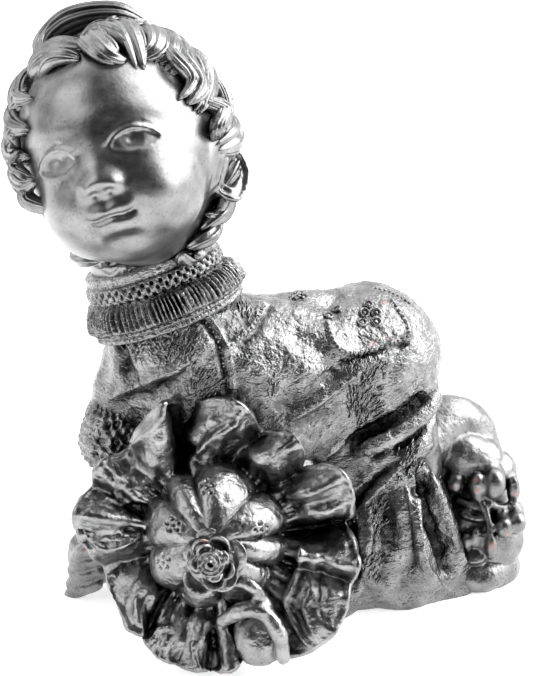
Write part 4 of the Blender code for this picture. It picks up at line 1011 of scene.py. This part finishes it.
def bonnet_axes():
    """The bonnet's own right and up, and the way its crown points."""
    level = math.cos(BONNET_TILT)
    out = np.array((math.sin(BONNET_TURN) * level, -math.cos(BONNET_TURN) * level, math.sin(BONNET_TILT)))
    right = unit(np.cross((0, 0, 1), out))
    return right, np.cross(out, right), out


def crown(clay, rows=96, sides=330):
    """The bonnet's crown, puffed between the seams that run out from the rose, with clusters of eyelets."""
    right, up, out = bonnet_axes()
    turn = np.linspace(0, 2 * math.pi, sides, endpoint=False)[None, :]
    rise = np.linspace(-0.25, 1.0, rows)[:, None] * math.pi / 2
    wander = turn + 0.10 * np.sin(2 * turn + 1) + 0.16 * np.cos(rise) * np.sin(3 * turn)
    puff = np.abs(np.cos(CROWN_PUFFS / 2 * (wander + 0.2))) ** 0.55
    swell = 1.0 + CROWN_PUFF_DEPTH * (puff - 0.62) * np.cos(rise) ** 0.6 * smoothstep(1.5, 0.9, rise)
    reach = CROWN_RADIUS * np.cos(rise) * swell + 0.02
    level = CROWN_HEIGHT * np.sin(rise) * swell
    clay.grid(BONNET_CENTRE + around(right, up, turn) * reach[..., None] + out * level[..., None])


def brim(clay, rings=42):
    """The brim: a thick sheet gathered at the crown, in folds that open outwards and roll at the rim."""
    right, up, out = bonnet_axes()
    folds = np.array(BRIM_FOLDS, float)
    whole_turn = np.array((360.0, 360.0, 0, 0))
    folds = np.vstack([folds[-1:] - whole_turn, folds, folds[:2] + whole_turn])
    folds = curve_through(folds, SIDES_PER_FOLD * (len(folds) - 1) + 1)[SIDES_PER_FOLD : -SIDES_PER_FOLD - 1]
    start, end, reach, forward = (column[:, None] for column in folds.T)
    share = np.linspace(0, 1, rings)[None, :]
    inner = CROWN_RADIUS * 0.80
    spread = inner + (reach - inner) * share
    turn = start + (end - start) * share
    angle = np.radians(turn)
    gather = fade(share - 0.22, 0.15) * np.sin(44 * angle + 3 * np.sin(5 * angle))
    ripple = 0.4 * np.sin(21 * angle - 7 * share + 2 * np.sin(3 * angle)) * share
    ripple = ripple + 0.5 * np.sin(9 * angle + 9 * share)
    level = forward * (0.16 + 0.84 * np.sin(share * math.pi / 2) ** 0.9) + 0.5 * gather + ripple
    for place, breadth, depth in BRIM_GAPS:
        near = fade((turn - place + 180) % 360 - 180, breadth)
        level = level - depth * near * fade(share - 0.24, 0.17)
    phase = np.arange(len(folds))[:, None] / SIDES_PER_FOLD
    crest = fade(phase - np.round(phase), 0.20) * smoothstep(1.5, 6, forward)
    level = level + 1.5 * crest * share**0.7
    roll = np.clip((share - 0.78) / 0.22, 0, 1) ** 2.0
    level = level - (0.6 + 1.0 * smoothstep(1, 7, forward)) * roll + 2.0 * (1 - share) ** 4
    middle = BONNET_CENTRE + around(right, up, angle) * spread[..., None] + out * level[..., None]
    along = np.roll(middle, -1, axis=0) - np.roll(middle, 1, axis=0)
    normal = unit_rows(np.cross(np.gradient(middle, axis=1), along))
    half = BRIM_THICKNESS / 2 * (0.85 + 0.75 * fade(share - 0.955, 0.035))
    half = normal * (half * np.sqrt(np.clip((1 - share) / 0.03, 0.02, 1)))[..., None]
    clay.grid(np.concatenate([middle + half, (middle - half)[:, ::-1]], axis=1), closed_rows=True)


def petal(clay, base, turn, reach, width, tall, lean):
    """A petal of the rose: a curved leaf that stands round the bud and rolls outwards at its lip."""
    right, up, out = bonnet_axes()
    across = np.linspace(-1, 1, 15)[:, None]
    share = np.linspace(0, 1, 12)[None, :]
    angle = turn + across * width * (0.75 + 0.25 * share)
    spread = reach * (0.62 + 0.38 * share) + lean * share**3 - 1.9 * across**2 * share
    level = tall * share * (1 - 0.42 * across**2) - 0.5 * lean * share**6
    middle = base + around(right, up, angle) * spread[..., None] + out * level[..., None]
    half = unit_rows(np.cross(np.gradient(middle, axis=1), np.gradient(middle, axis=0))) * PETAL_THICKNESS / 2
    clay.grid(np.concatenate([middle + half, (middle - half)[:, ::-1]], axis=1))


def rose(clay):
    """The rose on the crown: a spiral bud inside rings of petals, on a soft leafy base."""
    right, up, out = bonnet_axes()
    base = BONNET_CENTRE + out * (CROWN_HEIGHT - 2.6) - up * 5
    clay.ball(base, (ROSE_RADIUS * 0.78, ROSE_RADIUS * 0.78, 3.4), (right, up, out))
    rings = ((5, 0.80, 0.62, 3.0, 1.6), (5, 0.66, 0.62, 4.6, 0.8), (4, 0.52, 0.80, 5.6, 0.3))
    for ring, (petals, reach, width, tall, lean) in enumerate(rings):
        for k in range(petals):
            turn = 2 * math.pi * (k + 0.5 * ring) / petals + 0.3 + 0.2 * math.sin(2.3 * k + ring)
            uneven = ROSE_RADIUS * reach * (1.0 + 0.13 * math.sin(2.1 * k + 1.0) * (ring < 2))
            petal(clay, base, turn, uneven, width * (1 + 0.12 * math.sin(3.1 * k)), tall, lean)
    turns = np.linspace(0, 3.2 * 2 * math.pi, 110)
    spread = np.interp(turns, (0, turns[-1]), (0.35, 3.9))
    path = base + out * np.interp(turns, (0, turns[-1]), (ROSE_HEIGHT, 4.4))[:, None]
    path = path + right * (np.cos(turns) * spread)[:, None] + up * (np.sin(turns) * spread)[:, None]
    clay.tube(path, np.full(110, 0.36), np.full(110, 1.4), out, 10)


def curled_lobe(clay):
    """The brim's lower lobe, which curls over towards the crown, and the leaf between it and the rose."""
    right, up, out = bonnet_axes()
    for shape in (CURLED_LOBE, LEAF):
        clay.limb([(*(BONNET_CENTRE + right * a + up * b + out * c), girth) for a, b, c, girth in shape])
    clay.ball(BONNET_CENTRE + right * 12 - up * 26 + out * 3, (7.0, 8.5, 4.5), (right, up, out))


def bonnet_backing(clay):
    """The solid casting that carries the brim from behind."""
    right, up, out = bonnet_axes()
    clay.ball(BONNET_CENTRE - out * 15, (32, 32, 10), (right, up, out))
    clay.ball((-13, -16, 13), (27, 17, 18))


def neighbours_mean(mesh):
    """A function that replaces each point's row of values by the mean of the points joined to it."""
    edges = np.empty(len(mesh.edges) * 2, int)
    mesh.edges.foreach_get("vertices", edges)
    start, end = edges.reshape(-1, 2).T
    count = len(mesh.vertices)
    joined = np.maximum(np.bincount(start, minlength=count) + np.bincount(end, minlength=count), 1)

    def mean(rows):
        columns = []
        for column in rows.T:
            total = np.bincount(start, column[end], count) + np.bincount(end, column[start], count)
            columns.append(total / joined)
        return np.array(columns).T

    return mean


def write_attribute(mesh, name, values):
    attribute = mesh.attributes.new(name, "FLOAT", "POINT")
    attribute.data.foreach_set("value", np.asarray(values, np.float32))


def mark_hollows(mesh):
    """Writes how deep each point lies below the surface averaged round it, as a share of a full hollow."""
    mean = neighbours_mean(mesh)
    points = points_of(mesh)
    smooth = points
    for _ in range(HOLLOW_ROUNDS):
        smooth = 0.5 * (smooth + mean(smooth))
    below = np.einsum("ij,ij->i", smooth - points, normals_of(mesh))
    write_attribute(mesh, "hollow", np.clip(below / HOLLOW_DEPTH, -1, 1))


def mark_worn(shell):
    """Writes where the silver has worn off: round the spots that the picture shows on this piece."""
    surface = Surface(shell)
    worn = np.zeros(len(surface.points))
    for across, down, radius in WORN_SPOTS[shell.name]:
        place, _ = surface.seen(across, down)
        gap = np.linalg.norm(surface.points - place, axis=1)
        worn = np.maximum(worn, np.exp(-((gap / radius) ** 4)))
    write_attribute(shell.data, "worn", worn)


def mark_shade(shells):
    """Writes how much of the sky each point can't see, from rays cast at every few points, for the painted
    shade in the paint's colour.
    """
    everything = bmesh.new()
    for shell in shells:
        everything.from_mesh(shell.data)
    tree = BVHTree.FromBMesh(everything)
    everything.free()
    fan = unit_rows(np.random.default_rng(5).normal(size=(SHADE_RAYS, 3)))
    for shell in shells:
        points, normals = points_of(shell.data), normals_of(shell.data)
        known = np.zeros(len(points))
        known[::SHADE_STEP] = 1
        shut = np.zeros(len(points))
        for index in range(0, len(points), SHADE_STEP):
            start = Vector(points[index] + normals[index] * SHADE_LIFT)
            _, wall, _, _ = tree.ray_cast(start, Vector(normals[index]), SHADE_REACH)
            if wall is not None and wall.dot(Vector(normals[index])) > 0:
                known[index] = 0
                continue
            ways = fan + normals[index] * 1.02
            hits = [tree.ray_cast(start, Vector(way), SHADE_REACH)[0] is not None for way in ways]
            shut[index] = np.mean(hits)
        mean = neighbours_mean(shell.data)
        rows = np.array((shut, known)).T
        for _ in range(SHADE_SPREAD):
            rows = 0.5 * (rows + mean(rows))
        write_attribute(shell.data, "shade", rows[:, 0] / np.maximum(rows[:, 1], 1e-6))


def roughen(shell, size, height):
    """Moves the surface in and out by a noise of this size, as in a hand-worked casting."""
    points = points_of(shell.data)
    shift = np.array([noise.noise(Vector(point)) for point in points / size])
    shift += 0.5 * np.array([noise.noise(Vector(point)) for point in 2.3 * points / size + 40.0])
    move_points(shell.data, points + normals_of(shell.data) * (height * shift)[:, None])


def stand_flat(shell):
    """Cuts the piece off level at the floor and closes the cut."""
    if points_of(shell.data)[:, 2].min() >= 0:
        return
    body = bmesh.new()
    body.from_mesh(shell.data)
    everything = body.verts[:] + body.edges[:] + body.faces[:]
    cut = bmesh.ops.bisect_plane(body, geom=everything, plane_co=(0, 0, 0), plane_no=(0, 0, -1),
                                 clear_outer=True, dist=1e-5)
    rim = [part for part in cut["geom_cut"] if isinstance(part, bmesh.types.BMEdge)]
    bmesh.ops.triangle_fill(body, edges=rim, use_beauty=True, normal=(0, 0, -1))
    bmesh.ops.recalc_face_normals(body, faces=body.faces[:])
    body.to_mesh(shell.data)
    body.free()


def clay_from(*makers):
    """The clay that these functions add to, one after another."""
    clay = Clay()
    for make in makers:
        make(clay)
    return clay


def dress_relief(shell):
    """Lowers the back's top, and carves the folds, seams and hems of the dress."""
    points = points_of(shell.data)
    across, _, level = points.T
    points[:, 2] -= BACK_DROP * smoothstep(*BACK_DROP_LEVELS, level) * smoothstep(*BACK_DROP_ACROSS, across)
    move_points(shell.data, points)
    roughen(shell, size=7.0, height=0.55)
    surface = Surface(shell)
    back = [(surface.back_line(places), radius, height) for radius, height, places in BACK_LINES]
    surface.relief(surface.lines(DRESS_LINES) + back)
    roughen(shell, size=1.7, height=0.22)


def crown_relief(shell):
    """Sinks the clusters of eyelets into the crown."""
    roughen(shell, size=3.0, height=0.22)
    surface = Surface(shell)
    holes = []
    for across, down in EYELETS:
        for k in range(5):
            turn = 2 * math.pi * k / 5 + across
            aside, drop = np.multiply(EYELET_SPREAD, (math.cos(turn), math.sin(turn)))
            holes.append(surface.seen(across + aside, down + drop)[0])
        holes.append(surface.seen(across, down)[0])
    surface.relief([(holes, 0.50, -1.5), (holes, 1.1, 0.25)])


def brim_relief(shell):
    """Works the brim: uneven cloth, ridges and grooves across its folds, and holes in the rolled tips."""
    roughen(shell, size=11.0, height=0.8)
    surface = Surface(shell)
    surface.relief(surface.lines(BRIM_LINES))
    holes = [surface.seen(across, down)[0] for across, down in BRIM_HOLES]
    surface.relief([(holes, 1.0, -1.6), (holes, 2.0, 0.5)])
    roughen(shell, size=4.0, height=0.35)
    roughen(shell, size=1.4, height=0.16)


def soft_relief(shell):
    roughen(shell, size=4.5, height=0.35)
    roughen(shell, size=1.5, height=0.16)


def collar_relief(shell):
    roughen(shell, size=1.3, height=0.22)


def limb_relief(shell):
    roughen(shell, size=5.0, height=0.30)


# Each piece: its name, the functions that make it, the voxel that fuses it (0 keeps its shells), its
# softening, the function that carves it and its look
PIECES = (
    ("head", (head, ears_and_neck), HEAD_VOXEL, 2, None, "skin"),
    ("hair", (hair,), 0, 0, None, "hair"),
    ("dress", (dress,), DRESS_VOXEL, 8, dress_relief, "cloth"),
    ("collar", (collar,), 0, 0, collar_relief, "cloth"),
    ("cuff", (cuff,), 0, 0, soft_relief, "cloth"),
    ("limbs", (legs, arm), LIMB_VOXEL, 3, limb_relief, "limb"),
    ("crown", (crown,), 0, 0, crown_relief, "bonnet"),
    ("brim", (brim,), 0, 0, brim_relief, "bonnet"),
    ("bonnet_back", (curled_lobe, bonnet_backing), BACK_VOXEL, 1, soft_relief, "bonnet"),
    ("rose", (rose,), ROSE_VOXEL, 0, None, "bonnet"),
)


def stroke(clay, surface, across, down, heading, length, bend):
    """A short raised stroke of the pattern, drawn over the surface seen at a place in the picture."""
    share = np.linspace(-0.5, 0.5, 6)
    turn = heading + bend * share
    xs = across + length * share * np.cos(turn)
    ys = down - length * share * np.sin(turn)
    seen = [surface.seen(x, y) for x, y in zip(xs, ys)]
    path = np.array([place for place, _ in seen])
    if np.linalg.norm(np.diff(path, axis=0), axis=1).max() > LONGEST_STEP:
        return
    ups = np.array([normal for _, normal in seen])
    taper = np.sqrt(np.clip(1.02 - (2 * share) ** 2, 0.06, 1))
    clay.tube(path + ups * 0.1, STROKE_HALF_WIDTH * taper, STROKE_HALF_HEIGHT * taper, ups, 6)


def trims_clay(surface):
    """The pattern on the dress: patches of short strokes, ring beads and seams of small beads."""
    clay = Clay()
    draw = np.random.default_rng(23)
    for x0, y0, x1, y1, count, heading, spread, length in STROKE_PATCHES:
        for _ in range(count):
            aside, drop = np.clip(draw.normal(size=2) * 0.24, -0.5, 0.5)
            x, y = (x0 + x1) / 2 + aside * (x1 - x0), (y0 + y1) / 2 + drop * (y1 - y0)
            turn = math.radians(heading - 2 * spread * aside + draw.uniform(-12, 12))
            stroke(clay, surface, x, y, turn, length * draw.uniform(0.6, 1.2), draw.uniform(-1.2, 1.2))
    for across, down in RING_BEADS:
        place, normal = surface.seen(across, down)
        side = unit(np.cross(normal, (0, 0, 1)))
        turn = np.linspace(0, 2 * math.pi, 22, endpoint=False)
        ring = place + normal * 0.25 + RING_RADIUS * around(side, np.cross(normal, side), turn)
        section = np.linspace(0, 2 * math.pi, 8, endpoint=False)[None, :]
        clay.ball(place, (0.8, 0.8, 0.6), (side, np.cross(normal, side), normal), 10)
        away = unit_rows(ring - place)[:, None]
        clay.grid(ring[:, None] + RING_GIRTH * around(away, normal, section), closed_rows=True)
    for size, gap, places in BEAD_LINES:
        for place in surface.line(places, gap):
            clay.ball(place, (size, size, size), sides=8)
    return clay


def make_pieces():
    """The pieces in the figure's own units, each with the name of its look."""
    pieces = []
    for name, makers, voxel, softening, relief, look in PIECES:
        clay = clay_from(*makers)
        shell = fuse(name, clay, voxel, softening) if voxel else shell_of(name, clay)
        if relief:
            relief(shell)
        pieces.append((shell, look))
        if name == "dress":
            pieces.append((shell_of("trims", trims_clay(Surface(shell))), look))
    return pieces


class Nodes:
    """The nodes of a material or of the room, each added with its values and linked to what feeds it."""

    def __init__(self, tree):
        self.tree = tree
        self.link = tree.links.new

    def add(self, kind, **values):
        made = self.tree.nodes.new("ShaderNode" + kind)
        for key, value in values.items():
            if key in made.inputs:
                made.inputs[key].default_value = value
            else:
                setattr(made, key, value)
        return made

    def sums(self, operation, a, b):
        made = self.add("Math", operation=operation)
        for place, value in enumerate((a, b)):
            if isinstance(value, float):
                made.inputs[place].default_value = value
            else:
                self.link(value, made.inputs[place])
        return made.outputs[0]

    def spread(self, value, low, high, start=0.0, end=1.0, **more):
        ends = {"From Min": low, "From Max": high, "To Min": start, "To Max": end}
        made = self.add("MapRange", **ends, **more)
        self.link(value, made.inputs["Value"])
        return made.outputs["Result"]

    def grains(self, place, scale, detail):
        made = self.add("TexNoise", Scale=scale, Detail=detail)
        self.link(place, made.inputs["Vector"])
        return made.outputs["Fac"]

    def blend(self, factor, first, second):
        made = self.add("Mix", data_type="RGBA")
        self.link(factor, made.inputs["Factor"])
        self.link(first, made.inputs[6])
        made.inputs[7].default_value = (*second, 1)
        return made.outputs[2]


def silver(name, roughness, grain, bump, streak, tones, hollow_and_shade_shares, specks):
    """Silver paint: bright metal, black in the hollows, painted shade where the sky can't reach, rubbed in
    places, over a grained casting.
    """
    material = bpy.data.materials.new(name)
    material.use_nodes = True
    nodes = Nodes(material.node_tree)
    sums, spread, link = nodes.sums, nodes.spread, nodes.link
    shader = nodes.tree.nodes["Principled BSDF"]
    place = nodes.add("TexCoord").outputs["Object"]
    hollow, shade, bare = (nodes.add("Attribute", attribute_name=which).outputs["Fac"]
                           for which in ("hollow", "shade", "worn"))

    mottle = nodes.grains(place, MOTTLE_SCALE, 7.0)
    tone = nodes.add("ValToRGB")
    for element, position, value in zip(tone.color_ramp.elements, (0.31, 0.70), tones):
        element.position = position
        element.color = (value, value, value * 1.01, 1)
    link(mottle, tone.inputs["Fac"])
    # The hollows darken, and the places that the sky can't reach go black as painted shade; dark specks are
    # laid over both
    hollow_share, shade_share = hollow_and_shade_shares
    specks_and_painted_shade = sums("ADD", sums("MULTIPLY", hollow, hollow_share), sums("MULTIPLY", shade, shade_share))
    specks_and_painted_shade = sums("MULTIPLY", spread(specks_and_painted_shade, 0.15, 0.85), sums("ADD", mottle, 0.45))
    fine = spread(nodes.grains(place, SPECK_SCALE, 4.0), 0.52, 0.72, 0.0, specks)
    patches = spread(nodes.grains(place, SPECK_PATCH_SCALE, 3.0), 0.35, 0.62)
    specks_and_painted_shade = sums("MAXIMUM", specks_and_painted_shade, sums("MULTIPLY", fine, patches))
    colour = nodes.blend(sums("MINIMUM", specks_and_painted_shade, 1.0), tone.outputs["Color"], SPECK_AND_SHADE_BLACK)
    worn = sums("MULTIPLY", bare, spread(nodes.grains(place, WEAR_SCALE, 3.0), 0.3, 0.6))
    link(nodes.blend(worn, colour, WORN_PINK), shader.inputs["Base Color"])
    link(sums("SUBTRACT", 1.0, sums("MULTIPLY", worn, 0.8)), shader.inputs["Metallic"])
    gloss = nodes.grains(place, GLOSS_SCALE, 4.0)
    link(spread(gloss, 0.0, 1.0, roughness * 0.75, roughness * 1.3), shader.inputs["Roughness"])

    stretched = nodes.add("Mapping", Scale=(1.0, 0.25, 1.6), Rotation=(0.5, 0.4, 0.3))
    link(place, stretched.inputs["Vector"])
    streaks = nodes.grains(stretched.outputs["Vector"], grain * 0.6, 3.0)
    height = sums("ADD", nodes.grains(place, grain, 5.0), sums("MULTIPLY", streaks, streak))
    relief = nodes.add("Bump", Strength=bump, Distance=GRAIN_HEIGHT)
    link(height, relief.inputs["Height"])
    link(relief.outputs["Normal"], shader.inputs["Normal"])
    return material


def ground():
    """The pale ground, which glows a little so that it shows white."""
    reach = GROUND_REACH
    mesh = bpy.data.meshes.new("floor")
    mesh.from_pydata([(-reach, -reach, 0), (reach, -reach, 0), (reach, reach, 0), (-reach, reach, 0)], [],
                     [(0, 1, 2, 3)])
    paper = bpy.data.materials.new("white_ground")
    paper.use_nodes = True
    values = {"Base Color": (GROUND_GREY, GROUND_GREY, GROUND_GREY, 1), "Roughness": 0.9,
              "Emission Color": (1, 1, 1, 1), "Emission Strength": GROUND_GLOW}
    for key, value in values.items():
        paper.node_tree.nodes["Principled BSDF"].inputs[key].default_value = value
    mesh.materials.append(paper)
    add_object("floor", mesh)


def room():
    """A pale room with soft windows, which lights the metal and which the metal mirrors."""
    world = bpy.data.worlds.new("room")
    bpy.context.scene.world = world
    world.use_nodes = True
    nodes = Nodes(world.node_tree)
    way = nodes.add("TexCoord").outputs["Generated"]
    light = ROOM_GLOOM
    for toward, edge, middle, strength in ROOM_WINDOWS:
        toward_window = nodes.add("VectorMath", operation="DOT_PRODUCT")
        toward_window.inputs[1].default_value = unit(toward)
        nodes.link(way, toward_window.inputs[0])
        glow = nodes.spread(toward_window.outputs["Value"], math.cos(math.radians(edge)),
                            math.cos(math.radians(middle)), 0.0, strength, interpolation_type="SMOOTHSTEP")
        light = nodes.sums("ADD", light, glow)
    background = nodes.tree.nodes["Background"]
    background.inputs["Color"].default_value = (1, 1, 1, 1)
    nodes.link(light, background.inputs["Strength"])


def camera():
    """The camera, where the figure's units are moved into the frame as its pieces are."""
    view = bpy.data.cameras.new("camera")
    view.sensor_fit = "VERTICAL"
    view.sensor_height = 24.0
    view.lens = view.sensor_height * CAMERA_FOCUS / PICTURE_HEIGHT
    view.clip_start = 0.01
    seat = add_object("camera", view)
    seat.location = (CAMERA_TARGET + CAMERA_BACK * CAMERA_DISTANCE + PLACE) * UNIT
    seat.rotation_euler = (math.pi / 2 - CAMERA_DOWN, 0, 0)
    bpy.context.scene.camera = seat


def show_pieces():
    """Makes the pieces, paints them and moves them to their place in the frame."""
    pieces = make_pieces()
    paints = {look: silver("silver_" + look, *values) for look, values in LOOKS.items()}
    for shell, _ in pieces:
        stand_flat(shell)
        mark_hollows(shell.data)
        if shell.name in WORN_SPOTS:
            mark_worn(shell)
    mark_shade([shell for shell, _ in pieces])
    for shell, look in pieces:
        move_points(shell.data, (points_of(shell.data) + PLACE) * UNIT)
        shell.data.shade_smooth()
        shell.data.materials.append(paints[look])
        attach(shell, "root")
        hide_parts("crawling_child_figurine")


show_pieces()
ground()
room()
camera()
bpy.context.scene.view_settings.view_transform = "Standard"
